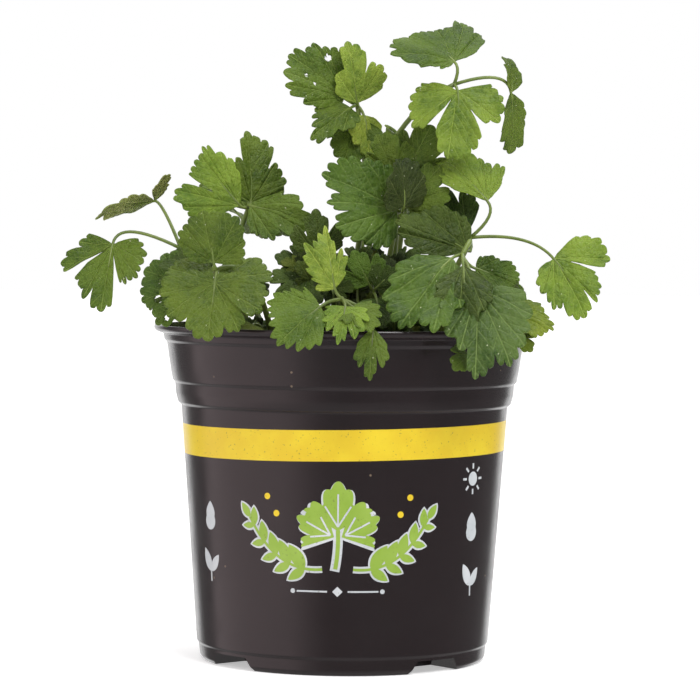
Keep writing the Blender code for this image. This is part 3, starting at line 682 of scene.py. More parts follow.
def leaf_finish(name, underside):
    """Living leaf: each leaflet's green, mottled with its own tone and with painted light and shade,
    paler veins, a fine net and a soft sheen.
    """
    made, tree, shader = new_material(name, 0.6 if underside else 0.5, 0.22)
    tint = add_node(tree, "Attribute", attribute_name="tint").outputs["Color"]
    place = add_node(tree, "TexCoord").outputs["Object"]
    chart = add_node(tree, "UVMap", uv_map="veins")
    net = add_node(
        tree, "TexVoronoi", {"Vector": chart, "Scale": 17.0}, feature="DISTANCE_TO_EDGE"
    )
    lines = vein_lines(tree, chart, net, place)

    pale = mixed(tree, 0.22, mixed(tree, 1.0, tint, (2.2, 1.9, 2.4), "MULTIPLY"), (0.34, 0.42, 0.16))
    vein_share = maths(tree, "MULTIPLY", lines, 0.85)
    color = mixed(tree, vein_share, leaf_green(tree, tint, place), pale)
    if underside:
        color = mixed(tree, 0.25, color, (0.20, 0.25, 0.12))
    mote = ranged(tree, speckle(tree, place, 900.0, 1.0), 0.76, 0.80, 0.0, 0.75)
    color = mixed(tree, mote, color, (0.50, 0.54, 0.34))
    tree.links.new(color, shader.inputs["Base Color"])
    if not underside:
        gloss = ranged(tree, speckle(tree, place, 170.0), 0.3, 0.7, 0.40, 0.60)
        tree.links.new(gloss.outputs[0], shader.inputs["Roughness"])

    # The relief: its fine grain, its broad swelling, its depth in metres and its strength.
    grain, swell, depth, strength = (0.1, 1.2, 0.00006, -0.4) if underside else (0.4, 2.4, 0.0004, 0.9)
    puffed = maths(tree, "MINIMUM", maths(tree, "MULTIPLY", net, 2.2), 1.0)
    height = maths(tree, "MULTIPLY_ADD", lines, -0.7, maths(tree, "MULTIPLY", puffed, 0.5))
    height = maths(tree, "MULTIPLY_ADD", speckle(tree, place, 1300.0, 2.0), grain, height)
    height = maths(tree, "MULTIPLY_ADD", speckle(tree, place, 300.0, 2.0), swell, height)
    add_bump(tree, shader, height, depth, strength)
    let_light_in(shader, 0.12, (0.6, 1.0, 0.2))
    return made


def stalk_finish():
    """Pale green stalk with long ribs, with painted shade that darkens and dulls it towards the foot,
    under the leaves.
    """
    made, tree, shader = new_material("stalk", 0.4)
    place = add_node(tree, "TexCoord").outputs["Object"]
    height = add_node(tree, "SeparateXYZ", {0: place}).outputs[2]
    stretched = add_node(tree, "Mapping", {0: place, 3: (1.0, 1.0, 0.12)})
    ribs = speckle(tree, stretched.outputs[0], 1400.0, 2.0)
    clouds = speckle(tree, place, 130.0)
    color = mixed(tree, ranged(tree, clouds, 0.3, 0.7), (0.120, 0.175, 0.028), (0.190, 0.250, 0.048))
    # painted shade: the stalks' lower parts, shaded by the leaves above, darken to dark olive
    color = mixed(tree, ranged(tree, height, 0.091, 0.124, 0.85, 0.0), color, (0.045, 0.046, 0.016))
    color = mixed(tree, maths(tree, "MULTIPLY", ribs, 0.35), color, (0.09, 0.14, 0.03))
    tree.links.new(color, shader.inputs["Base Color"])
    add_bump(tree, shader, ribs, 0.00012, 0.6)
    let_light_in(shader, 0.1, (0.8, 1.0, 0.3))
    return made


def earth_finish(name, dark, light, scale, relief):
    """Rough grains: peat, bark or perlite."""
    made, tree, shader = new_material(name, 0.95, 0.25)
    place = add_node(tree, "TexCoord").outputs["Object"]
    clumps = speckle(tree, place, scale, 5.0, 0.7)
    color = mixed(tree, ranged(tree, clumps, 0.35, 0.68), dark, light)
    fibres = speckle(tree, place, scale * 6)
    color = mixed(tree, ranged(tree, fibres, 0.55, 0.75, 0.0, 0.6), color, light)
    tree.links.new(color, shader.inputs["Base Color"])
    add_bump(tree, shader, maths(tree, "ADD", clumps, fibres), relief, 0.9)
    return made


# ---------------------------------------------------------------- pot
def rounded_outline(corners, steps=4):
    """The outline with each corner replaced by a short curve of its own rounding (mm)."""
    points = []
    for i, (r, z, rounding) in enumerate(corners):
        here = Vector((r, z))
        if i in (0, len(corners) - 1) or rounding == 0:
            points.append(here)
            continue
        before = Vector(corners[i - 1][:2]) - here
        after = Vector(corners[i + 1][:2]) - here
        start = here + before.normalized() * min(rounding, before.length * 0.45)
        end = here + after.normalized() * min(rounding, after.length * 0.45)
        points += curve_points(start, here, end, steps)
    return points


def wall_radius(height):
    """The pot's outer radius at a height."""
    for (r1, z1, _), (r2, z2, _) in zip(POT_OUTLINE, POT_OUTLINE[1:]):
        if z1 * MM <= height <= z2 * MM:
            return (r1 + (r2 - r1) * (height / MM - z1) / (z2 - z1)) * MM
    return POT_OUTLINE[-1][0] * MM


def turned(points, steps, name):
    """A surface turned about Z from (radius, height) points in metres."""
    bm = bmesh.new()
    chain = [bm.verts.new((r, 0, z)) for r, z in points]
    edges = [bm.edges.new(pair) for pair in zip(chain, chain[1:])]
    bmesh.ops.spin(
        bm, geom=chain + edges, axis=(0, 0, 1), cent=(0, 0, 0), angle=FULL_TURN, steps=steps,
        use_merge=True,
    )
    bmesh.ops.remove_doubles(bm, verts=bm.verts, dist=0.02 * MM)
    bmesh.ops.recalc_face_normals(bm, faces=bm.faces)
    return mesh_of(bm, name)


def pocket_block(name, grow, outer_radius, low):
    """A bar with a sloping section that points to -Y: a pocket's room, and grow all round it."""
    bm = bmesh.new()
    bmesh.ops.create_cube(bm, size=1.0)
    bmesh.ops.subdivide_edges(
        bm, edges=[e for e in bm.edges if abs(e.verts[0].co.x - e.verts[1].co.x) > 0.5], cuts=9
    )
    for v in bm.verts:
        z = low if v.co.z < 0 else POCKET_HEIGHT + grow
        narrowing = (POCKET_WIDTH_BOTTOM - POCKET_WIDTH_TOP) * z / POCKET_HEIGHT
        x = 2 * v.co.x * ((POCKET_WIDTH_BOTTOM - narrowing) / 2 + grow)
        outer = -math.sqrt(outer_radius**2 - x**2)
        v.co = (x, outer if v.co.y < 0 else -POCKET_INNER_RADIUS + grow, z)
    bmesh.ops.recalc_face_normals(bm, faces=bm.faces)
    return mesh_of(bm, name)


def drain_slot():
    """A bar with round ends that cuts through a pocket's roof."""
    bm = bmesh.new()
    bmesh.ops.create_cone(
        bm, cap_ends=True, segments=24, radius1=DRAIN_WIDTH / 2, radius2=DRAIN_WIDTH / 2,
        depth=4 * WALL,
    )
    for v in bm.verts:
        if abs(v.co.x) > 1e-6:
            v.co.x += math.copysign((DRAIN_LENGTH - DRAIN_WIDTH) / 2, v.co.x)
        v.co += Vector((0, -DRAIN_RADIUS, POCKET_HEIGHT + WALL / 2))
    return mesh_of(bm, "drain_slot")


def at_pockets(name, *meshes):
    """A collection with the meshes set at every pocket."""
    group = bpy.data.collections.new(name)
    for angle in POCKET_ANGLES:
        for mesh in meshes:
            cutter = bpy.data.objects.new(f"{mesh.name}_{angle}", mesh)
            cutter.rotation_euler.z = math.radians(angle)
            group.objects.link(cutter)
    bpy.context.scene.collection.children.link(group)
    return group


def cut_pockets(pot):
    """The pot gets its pockets' walls, and then loses the pockets' rooms and drain slots."""
    walls = at_pockets("pocket_walls", pocket_block("pocket_wall", WALL, POCKET_OUTER_RADIUS, WALL / 2))
    room = pocket_block("pocket_room", 0.0, PAST_THE_POT, -2 * MM)
    rooms = at_pockets("pocket_rooms", room, drain_slot())
    for operation, group in (("UNION", walls), ("DIFFERENCE", rooms)):
        cut = pot.modifiers.new(operation.lower(), "BOOLEAN")
        cut.operation = operation
        cut.operand_type = "COLLECTION"
        cut.collection = group
    shaped = evaluated_mesh(pot)
    pot.modifiers.clear()
    pot.data = shaped
    for group in (walls, rooms):
        for cutter in list(group.objects):
            bpy.data.objects.remove(cutter)
        bpy.data.collections.remove(group)


def print_band(mesh):
    """The outer wall between two slightly tilted planes takes the print's material."""
    bm = bmesh.new()
    bm.from_mesh(mesh)
    for height in (BAND_LOW, BAND_HIGH):
        everything = bm.verts[:] + bm.edges[:] + bm.faces[:]
        bmesh.ops.bisect_plane(
            bm, geom=everything, dist=1e-7, plane_co=(0, 0, height), plane_no=(-BAND_TILT, 0, 1)
        )
    for face in bm.faces:
        centre = face.calc_center_median()
        level = centre.z - BAND_TILT * centre.x
        outward = face.normal.dot(centre * Vector((1, 1, 0))) > 0
        face.material_index = 1 if BAND_LOW < level < BAND_HIGH and outward else 0
    bm.to_mesh(mesh)
    bm.free()


def build_pot(plastic, band):
    outer = [p * MM for p in rounded_outline(POT_OUTLINE)]
    inner = [Vector((p.x - WALL, p.y)) for p in outer if INSIDE_LOW < p.y < INSIDE_HIGH]
    floor = [Vector((FLOOR_RADIUS, WALL)), Vector((0.0, WALL))]
    outline = [Vector((0.0, 0.0))] + outer + inner[::-1] + floor
    pot = add_object("pot", turned(outline, POT_STEPS, "pot"), (plastic, band))
    cut_pockets(pot)
    print_band(pot.data)
    pot.data.shade_smooth()
    pot.data.set_sharp_from_angle(angle=math.radians(POT_SHARP))
    return finished(pot, "pot")


# ---------------------------------------------------------------- potting mix
def soil_radius(height):
    """The mix's radius at a height, just inside the pot's wall."""
    return wall_radius(height) - WALL - SOIL_CLEARANCE


def soil_height(x, y):
    """Height of the mix's lumpy top at a place."""
    share = min(math.hypot(x, y) / soil_radius(SOIL_LEVEL), 1.0)
    dome = SOIL_LEVEL + SOIL_DOME * math.cos(share * math.pi / 2)
    coarse = noise.noise(Vector((x, y, 0)) * 90) * 0.9
    fine = noise.noise(Vector((x, y, 0.1)) * 330) * 0.45
    return dome + (coarse + fine) * MM * (1 - 0.5 * share)


def build_soil(look):
    """The mix fills the pot from above the pockets to its uneven top."""
    edge = soil_radius(SOIL_LEVEL)
    top = [(edge * i / SOIL_RINGS, SOIL_LEVEL) for i in range(SOIL_RINGS + 1)]
    side = [(soil_radius(z * MM), z * MM) for z in SOIL_SIDE]
    mesh = turned(top + side + [(0.0, SOIL_BOTTOM)], SOIL_STEPS, "potting_mix")
    for v in mesh.vertices:
        if abs(v.co.z - SOIL_LEVEL) < 0.01 * MM:
            v.co.z = soil_height(v.co.x, v.co.y)
    mesh.shade_smooth()
    return finished(add_object("potting_mix", mesh, (look,)), "potting_mix")


def scattered(name, look, count, sizes, flatness, seed):
    """Grains lying on the mix, each a squashed and turned lump of a few faces."""
    rng = random.Random(seed)
    reach = soil_radius(SOIL_LEVEL) * 0.97
    bm = bmesh.new()
    for _ in range(count):
        radius = reach * math.sqrt(rng.random())
        angle = rng.uniform(0, FULL_TURN)
        x, y = radius * math.cos(angle), radius * math.sin(angle)
        size = rng.uniform(*sizes) * MM
        stretch = Vector([rng.uniform(0.6, 1.3) for _ in range(3)])
        stretch.z *= flatness
        turn = Euler([rng.uniform(-0.6, 0.6), rng.uniform(-0.6, 0.6), angle * 7])
        place = Matrix.Translation((x, y, soil_height(x, y) + size * 0.12))
        place = place @ turn.to_matrix().to_4x4() @ Matrix.Diagonal((*stretch, 1))
        made = bmesh.ops.create_icosphere(bm, subdivisions=1, radius=size / 2, matrix=place)
        for v in made["verts"]:
            v.co += Vector([rng.uniform(-0.12, 0.12) for _ in range(3)]) * size
    return finished(add_object(name, mesh_of(bm, name), (look,)))


# ---------------------------------------------------------------- leaves
def swept(points, radii, sides, name):
    """A closed round stem along the points."""
    bm = bmesh.new()
    count = len(points)
    ring = []
    lean = Vector((0, 0, 1))
    for i, point in enumerate(points):
        ahead = points[min(i + 1, count - 1)] - points[max(i - 1, 0)]
        turn = lean.rotation_difference(ahead)
        if not ring:
            place = Matrix.Translation(point) @ turn.to_matrix().to_4x4()
            bmesh.ops.create_circle(bm, cap_ends=True, segments=sides, radius=radii[0], matrix=place)
            ring = list(bm.edges)
        else:
            made = bmesh.ops.extrude_edge_only(bm, edges=ring)["geom"]
            verts = [v for v in made if isinstance(v, bmesh.types.BMVert)]
            ring = [
                e for e in made if isinstance(e, bmesh.types.BMEdge) and all(v in verts for v in e.verts)
            ]
            centre = sum((v.co for v in verts), Vector()) / len(verts)
            grown = radii[i] / radii[i - 1]
            for v in verts:
                v.co = point + turn @ (v.co - centre) * grown
        lean = ahead
    bmesh.ops.edgeloop_fill(bm, edges=ring)
    bmesh.ops.recalc_face_normals(bm, faces=bm.faces)
    return mesh_of(bm, name)


Column = namedtuple("Column", "angle reach across lobe")


def edge_columns(outline, spread, detail, per_tooth):
    """Columns of the blade from one side to the other.

    The edge runs smoothly through a lobe's crests, with a small notch between each two, and
    falls to the cut at each end of the lobe, where a deep cut is also wider. A column has its
    angle, its reach, how far across its lobe it is, from -1 to 1 with 0 at the lobe's axis, and
    its lobe's number. With the columns come the lobes' axes and how wide each lobe is, as a share
    of a broad one.
    """
    columns = []
    axes = []
    widths = []
    start = outline.start
    cut = outline.cut / 100
    before = 0.0
    for number, lobe in enumerate(outline.lobes):
        crests = [crest / 100 * detail.uniform(0.985, 1.015) for crest in lobe.crests]
        teeth = len(crests)
        last = number == len(outline.lobes) - 1
        end_cut = lobe.cut / 100
        after = 0.0
        if not last:
            end_cut, after = deep_cut(end_cut, crests[-1], outline.lobes[number + 1].crests[0] / 100)
        first_angle = start + before
        span = lobe.end - after - first_angle
        axis = (crests.index(max(crests)) + 0.5) / teeth
        axes.append(math.radians((first_angle + span * axis) * spread))
        widths.append(min(1.0, span * spread / BROAD_LOBE))
        notch = POINTED_NOTCH if outline.pointed else NOTCH
        notches = [detail.uniform(0.75, 1.3) * notch for _ in range(teeth)]
        count = teeth * per_tooth
        for i in range(count + (1 if last or after > 0 else 0)):
            share = i / count
            reach = edge_reach(share * teeth - 0.5, crests, notches, (cut, end_cut), outline.pointed)
            across = (share - axis) / (axis if share < axis else 1 - axis)
            angle = math.radians((first_angle + span * share) * spread)
            columns.append(Column(angle, reach, across, number))
        start = lobe.end
        before = after
        cut = end_cut
    return columns, axes, widths


def deep_cut(cut, crest, next_crest):
    """A cut between two lobes made deeper, and how many degrees it takes from each of them."""
    depth = min(crest, next_crest) - cut
    return cut - 0.3 * max(depth - 0.12, 0), min(max((depth - 0.15) * WIDE_CUT, 0), 5)


def edge_reach(spot, crests, notches, cuts, pointed):
    """How far out a lobe's edge stands at a spot, counted in teeth from its first crest."""
    teeth = len(crests)
    first_cut, last_cut = cuts
    if spot < 0:
        return first_cut + (crests[0] - first_cut) * end_rise(-2 * spot, crests[0] - first_cut)
    if spot > teeth - 1:
        height = crests[-1] - last_cut
        return last_cut + height * end_rise(2 * (spot - teeth + 1), height)
    k = min(int(spot), max(teeth - 2, 0))
    beyond = crests[min(k + 1, teeth - 1)]
    between = spot - k
    off_crest = 1 - abs(2 * between - 1)
    dip = off_crest**1.4 if pointed else 1 - math.sqrt(1 - off_crest**2)
    return (crests[k] + (beyond - crests[k]) * smooth_step(between, 0, 1)) - notches[k] * dip


def end_rise(off_crest, height):
    """The share of the height above a lobe's end cut that is left, off_crest running from 0 to 1."""
    if height > 0.25:
        return 1 - off_crest**1.6
    if height > 0.1:
        return 1 - off_crest**2
    return math.sqrt(max(1 - off_crest**2, 0))


def vein_relief(across, along):
    """Slightly puffed fields between sunken veins, as a height in leaflet lengths."""
    start = along - VEIN_SLANT * abs(across) + math.copysign(VEIN_PITCH / 4, across)
    off_side = abs((start / VEIN_PITCH) % 1.0 - 0.5) * VEIN_LEAN
    groove = 0.006 * math.exp(-((across / 0.022) ** 2)) + 0.002 * math.exp(-((off_side / 0.014) ** 2))
    field = 0.004 * (1 - math.exp(-((min(abs(across), off_side) / 0.03) ** 2)))
    return (field - groove) * smooth_step(along, 0.05, 0.3)


def blade_point(angle, reach, fold, bow, ruffle, phase, lift=0.0):
    """A point of the blade in its own frame: x along the midrib, z towards the upper side."""
    x = reach * math.cos(angle)
    y = reach * math.sin(angle)
    z = CUP * reach * fold + ruffle * reach**2 * math.sin(5 * angle + phase) + lift
    bend = max(math.radians(bow), 0.01)
    bent_x = math.sin(bend * x) / bend + z * math.sin(bend * x)
    bent_z = -(1 - math.cos(bend * x)) / bend + z * math.cos(bend * x)
    return Vector((bent_x, y, bent_z))


def blade_frame(leaflet, tip_point):
    """Matrix that puts a blade's own frame on the leaflet's base, tip and face."""
    base = mm(*leaflet.base)
    chord = mm(*leaflet.tip) - base
    along = chord.normalized()
    face = Vector(leaflet.face)
    up = (face - along * face.dot(along)).normalized()
    axes = Matrix((along, up.cross(along), up)).transposed().to_4x4()
    level = Matrix.Rotation(math.atan2(tip_point.z, tip_point.x), 4, "Y")
    return Matrix.Translation(base) @ axes @ level @ Matrix.Scale(chord.length / tip_point.length, 4)


def blade_grid(bm, columns, axes, rings):
    """A grid of columns by rings with its chart of the veins; (column, ring) of each vertex."""
    veins = bm.loops.layers.uv["veins"]
    last = len(columns) - 1
    bmesh.ops.create_grid(bm, x_segments=last, y_segments=rings, size=0.5)
    spots = {}
    for v in bm.verts:
        spots[v] = (round((v.co.x + 0.5) * last), round((v.co.y + 0.5) * rings))
    for face in bm.faces:
        lobe = columns[min(spots[v][0] for v in face.verts)].lobe
        for loop in face.loops:
            column, ring = spots[loop.vert]
            reach = columns[column].reach * (ring / rings)
            angle = columns[column].angle - axes[lobe]
            loop[veins].uv = (reach * math.sin(angle), reach * math.cos(angle))
    return spots


def blade_surface(leaflet, axes, widths, detail):
    """A function that gives the blade's surface, with its folds, wrinkles and frilled edge."""
    ruffle = detail.uniform(0.03, 0.06)
    phase = detail.uniform(0, FULL_TURN)
    drift = Vector((detail.uniform(0, 50), detail.uniform(0, 50), 0))
    flat_tip = blade_point(0.0, 1.0, 0.0, leaflet.bow, ruffle, phase)
    to_world = blade_frame(leaflet, flat_tip)

    def place(angle, reach, across, lobe, share):
        """The point at an angle and reach; share is how far out it is on its column."""
        off_midrib = reach * math.sin(angle - axes[lobe])
        along = reach * math.cos(angle - axes[lobe])
        spot = Vector((reach * math.cos(angle), reach * math.sin(angle), 0)) + drift
        wrinkle = WRINKLE * noise.noise(spot * 2.6) + FINE_WRINKLE * noise.noise(spot * 8)
        frill = FRILL * share**5 * math.sin(11 * angle + 2 * phase)
        lift = vein_relief(off_midrib, along) + wrinkle * smooth_step(reach, 0, 0.3) + frill
        fold = widths[lobe] * abs(across) ** 1.3
        return to_world @ blade_point(angle, reach, fold, leaflet.bow, ruffle, phase, lift)

    return place


def wear_hole(bm, spot, size):
    worn = [f for f in bm.faces if (f.calc_center_median() - spot).length < size]
    bmesh.ops.delete(bm, geom=worn, context="FACES")


def blade_sheet(leaflet, seed, tint, fineness):
    """The blade as an open sheet, and points on its midrib."""
    rings, per_tooth = fineness
    detail = random.Random(seed)
    columns, axes, widths = edge_columns(OUTLINES[leaflet.outline], leaflet.spread, detail, per_tooth)
    place = blade_surface(leaflet, axes, widths, detail)
    bm = bmesh.new()
    bm.loops.layers.uv.new("veins")
    tints = bm.verts.layers.float_color.new("tint")
    roots = []
    for v, (column, ring) in blade_grid(bm, columns, axes, rings).items():
        edge = columns[column]
        share = ring / rings
        glow = 1 + EDGE_GLOW * share**6
        v[tints] = (*[c * glow for c in tint], 1.0)
        v.co = place(edge.angle, edge.reach * share, edge.across, edge.lobe, share)
        if ring == 0:
            roots.append(v)
    bmesh.ops.remove_doubles(bm, verts=roots, dist=1e-5)
    bmesh.ops.reverse_faces(bm, faces=bm.faces)
    for angle, reach, size in leaflet.holes:
        wear_hole(bm, place(math.radians(angle), reach / 100, 0.3, 0, 0.5), size * MM)
    main = min(range(len(axes)), key=lambda k: abs(axes[k]))
    midrib = [place(axes[main] * reach, reach, 0.0, main, 0.0) for reach in MIDRIB_SHARES]
    return mesh_of(bm, "sheet"), midrib


def thickened(sheet):
    """The sheet given its thickness; its underside has a look of its own."""
    obj = add_object("sheet", sheet)
    wall = obj.modifiers.new("thickness", "SOLIDIFY")
    wall.thickness = BLADE_THICKNESS
    wall.offset = 0.0
    wall.material_offset = UNDER
    made = evaluated_mesh(obj)
    bpy.data.objects.remove(obj)
    return made


def tinted(name, rng):
    """A tint with a small drift of its own."""
    drift = rng.uniform(0.92, 1.08)
    warm = rng.uniform(-0.04, 0.06)
    r, g, b = TINTS[name]
    return (r * drift * (1 + warm), g * drift, b * drift * (1 - warm))


def leaflet_stem(fork, leaflet, midrib, name):
    """The stem and midrib of a leaflet; with no swing it is a lobe that shares another's stem."""
    base = midrib[0]
    points = [base]
    radii = [STEM_BASE_RADIUS]
    if leaflet.swing is not None:
        into = (midrib[1] - base).normalized()
        length = (base - fork).length
        steps = max(3, round(length / STEM_STEP))
        points = curve_points(fork, base - into * leaflet.swing * length, base, steps)
        radii = [STEM_RADIUS + (STEM_BASE_RADIUS - STEM_RADIUS) * i / steps for i in range(steps + 1)]
    taper = (STEM_BASE_RADIUS - MIDRIB_RADIUS) / (len(midrib) - 1)
    radii += [STEM_BASE_RADIUS - taper * (i + 1) for i in range(len(midrib) - 1)]
    return swept(points + midrib[1:], radii, STEM_SIDES, name)


def join_meshes(name, parts):
    """One mesh from (mesh, material shift) pairs."""
    bm = bmesh.new()
    for mesh, shift in parts:
        before = len(bm.faces)
        bm.from_mesh(mesh)
        bm.faces.ensure_lookup_table()
        for face in bm.faces[before:]:
            face.material_index += shift
            face.smooth = True
        bpy.data.meshes.remove(mesh)
    return mesh_of(bm, name)


def build_leaf(name, leaf, looks, fineness):
    """A stalk from below the mix to its fork, with the leaflets on their stems."""
    foot = mm(*leaf.foot, 0) + Vector((0, 0, SOIL_LEVEL))
    via = mm(*leaf.via)
    fork = mm(*leaf.fork)
    rng = random.Random(name + " tint")
    points = [foot - Vector((0, 0, ROOT_DEPTH)), foot - Vector((0, 0, 1 * MM))]
    for i in range(1, STALK_STEPS + 1):
        points.append(quadratic(foot, via, fork, STALK_REACH * i / STALK_STEPS))
    taper = (STALK_FOOT_RADIUS - STALK_FORK_RADIUS) / (len(points) - 1)
    radii = [STALK_FOOT_RADIUS - taper * i for i in range(len(points))]
    parts = [(swept(points, radii, STALK_SIDES, name), STALK)]
    for i, leaflet in enumerate(leaf.leaflets):
        sheet, midrib = blade_sheet(leaflet, f"{name}{i}", tinted(leaflet.tint, rng), fineness)
        parts.append((thickened(sheet), UPPER))
        parts.append((leaflet_stem(fork, leaflet, midrib, name), STALK))
    return finished(add_object(name, join_meshes(name, parts), looks), name)


def build_shoot(foot, top, rng, seed):
    """A thin stalk with three small leaflets, as (mesh, material shift) pairs; their dark greens are
    partly painted shade for the plant's shaded middle.
    """
    via = foot.lerp(top, 0.6) + mm(rng.uniform(-3, 3), rng.uniform(-2, 2), 2)
    steps = 8
    radii = [(0.55 - 0.03 * i) * MM for i in range(steps + 1)]
    parts = [(swept(curve_points(foot, via, top, steps), radii, 6, "shoot"), STALK)]
    for side in range(3):
        heading = (side - 1) * 1.1 + rng.uniform(-0.5, 0.5)
        length = rng.uniform(4.0, 8.5)
        sideways, upward = math.sin(heading), math.cos(heading)
        base = top / MM + Vector((sideways, 0, upward)) * 0.8
        tip = base + Vector((sideways, rng.uniform(-0.5, 0.2), 0.8 * upward)) * length
        face = (rng.uniform(-0.6, 0.6), -0.9, rng.uniform(0.0, 0.9))
        # painted shade in part: the shoots' dark and black greens stand for the shade in the plant's
        # crowded middle
        tint = rng.choice(("dark", "black", "dark", "olive", "black"))
        leaflet = Leaflet(tuple(base), tuple(tip), face, "shoot", tint, 1.0, rng.uniform(30, 80))
        sheet, _ = blade_sheet(leaflet, f"{seed}{side}", tinted(tint, rng), SHOOT_BLADE)
        parts.append((thickened(sheet), UPPER))
    return parts


def build_undergrowth(looks):
    """Small curled shoots that crowd the mix between the tall stalks."""
    rng = random.Random("undergrowth")
    parts = []
    for count, middle, reach, heights in SHOOTS:
        for number in range(count):
            turn = rng.uniform(0, FULL_TURN)
            away = math.sqrt(rng.random())
            x = middle[0] + reach[0] * away * math.cos(turn)
            y = middle[1] + reach[1] * away * math.sin(turn)
            foot = mm(x, y, 0)
            foot.z = SOIL_LEVEL - 1 * MM
            top = foot + mm(rng.uniform(-5, 5), rng.uniform(-5, 3), rng.uniform(*heights))
            parts += build_shoot(foot, top, rng, f"shoot{middle}{number}")
    return finished(add_object("undergrowth", join_meshes("undergrowth", parts), looks))


def build_low_leaflets(looks):
    """Three small leaflets low at the rim, two on the right and one on the left."""
    rng = random.Random("low bits")
    parts = []
    for number, bit in enumerate(LOW_LEAFLETS):
        sheet, midrib = blade_sheet(bit, f"bit{number}", tinted(bit.tint, rng), LOW_BLADE)
        base = midrib[0]
        foot = Vector((base.x * 0.7, base.y * 0.6, SOIL_LEVEL))
        via = Vector((base.x * 0.9, base.y * 0.85, base.z + 2 * MM))
        points = curve_points(foot, via, base, 12)
        parts.append((thickened(sheet), UPPER))
        parts.append((swept(points, [0.4 * MM] * len(points), 8, "bit"), STALK))
    return finished(add_object("low_leaflets", join_meshes("low_leaflets", parts), looks))


# ---------------------------------------------------------------- prints on the wall
def on_wall(arc, height, lift):
    """The point of the front wall at an arc length from its middle and a height (mm)."""
    radius = wall_radius(height * MM) + lift * MM
    angle = arc * MM / radius
    return Vector((radius * math.sin(angle), -radius * math.cos(angle), height * MM))


def add_patch(bm, shape, columns, rows, lift):
    """A sheet on the wall; shape(u, v) gives its (arc, height) for u and v from 0 to 1."""
    made = bmesh.ops.create_grid(bm, x_segments=columns, y_segments=rows, size=0.5)
    for v in made["verts"]:
        v.co = on_wall(*shape(v.co.x + 0.5, v.co.y + 0.5), lift)
    bmesh.ops.remove_doubles(bm, verts=made["verts"], dist=0.01 * MM)


def pointing(angle):
    """A step of 1 on the wall: upwards at 0 degrees, to the right at 90."""
    turn = math.radians(angle)
    return Vector((math.sin(turn), math.cos(turn)))


def leaf_shape(at, angle, length, width, grow=0.0):
    """A pointed oval leaf from the point at, grown all round by grow."""
    along = pointing(angle)
    across = Vector((along.y, -along.x))

    def shape(u, v):
        half = (width / 2 + grow) * math.sin(math.pi * u**0.85) ** 0.8
        return Vector(at) + along * (u * (length + 2 * grow) - grow) + across * (2 * v - 1) * half

    return shape


def parsley_shape(at, angle, size, half, grow=0.0):
    """A broad three-lobed leaf that fans out from the point at, half degrees to each side."""
    start = Vector(at) - pointing(angle) * grow

    def shape(u, v):
        turn = (2 * u - 1) * SPRIG_FAN
        lobe = abs(math.sin(math.radians(turn * 2.8 + 90)))
        small = abs(math.sin(math.radians(turn * 8.4 + 90)))
        reach = size * (0.58 + 0.30 * lobe + 0.12 * small) * (1 - 0.2 * (2 * u - 1) ** 2) + grow
        heading = angle + turn / SPRIG_FAN * half * (1 + 0.6 * grow / size)
        return start + pointing(heading) * reach * v

    return shape


def ribbon_shape(start, control, end, width):
    """A curved line of even width."""
    curve = Vector(start), Vector(control), Vector(end)

    def shape(u, v):
        ahead = quadratic(*curve, min(u + 0.01, 1)) - quadratic(*curve, max(u - 0.01, 0))
        side = Vector((ahead.y, -ahead.x)).normalized()
        return quadratic(*curve, u) + side * (v - 0.5) * width

    return shape


def line_shape(start, end, width):
    return ribbon_shape(start, (Vector(start) + Vector(end)) / 2, end, width)


def disc_shape(at, radius):
    """A round dot, turned from its middle outwards."""

    def shape(u, v):
        return Vector(at) + pointing(360 * u) * radius * v

    return shape


def printed(name, shapes, look, lift):
    """Shapes of one ink as a thin layer whose middle stands lift above the wall (mm)."""
    bm = bmesh.new()
    for shape, columns, rows in shapes:
        add_patch(bm, shape, columns, rows, lift)
    obj = add_object(name, mesh_of(bm, name), (look,))
    layer = obj.modifiers.new("layer", "SOLIDIFY")
    layer.thickness = PRINT_THICKNESS
    layer.offset = 0.0
    obj.data = evaluated_mesh(obj)
    obj.modifiers.clear()
    bm = bmesh.new()
    bm.from_mesh(obj.data)
    bmesh.ops.recalc_face_normals(bm, faces=bm.faces)
    bm.to_mesh(obj.data)
    bm.free()
    return finished(obj)


def spray(side):
    """One branch of the emblem: its stem and its leaves (at, angle, length)."""
    reaches = ((4.5, 31.5), (18, 30.0), (27.5, 46.0))
    stem = [Vector((EMBLEM_MIDDLE + side * arc, height)) for arc, height in reaches]
    leaves = []
    for i in range(5):
        share = 0.2 + 0.18 * i
        at = quadratic(*stem, share)
        heading = 96 - 46 * share
        length = 9.2 - 4.0 * share
        leaves.append((at, side * (heading - 52), length))
        leaves.append((at, side * (heading + 38), length * 0.72))
    leaves.append((stem[-1], side * 36, 5.0))
    return stem, leaves


def sprig(back, leaves, veins):
    """Adds the parsley leaf of three parts with its stem, outline and veins."""
    for arc, height, angle, size, half in SPRIG:
        at = Vector((EMBLEM_MIDDLE + arc, height))
        back.append((parsley_shape(at, angle, size, half, 0.9), 64, 10))
        leaves.append((parsley_shape(at, angle, size, half), 64, 10))
        for turn, share in ((0, 0.74), (-28, 0.56), (28, 0.56)):
            start = at + pointing(angle) * 1.2
            end = at + pointing(angle + turn) * size * share
            veins.append((line_shape(start, end, 0.5), 10, 1))
    top, bend = (EMBLEM_MIDDLE, 43), (EMBLEM_MIDDLE + 0.3, 37)
    back.append((ribbon_shape(top, bend, (EMBLEM_MIDDLE - 0.9, 31), 2.8), 16, 3))
    leaves.append((ribbon_shape(top, bend, (EMBLEM_MIDDLE - 0.7, 31.6), 1.2), 16, 2))


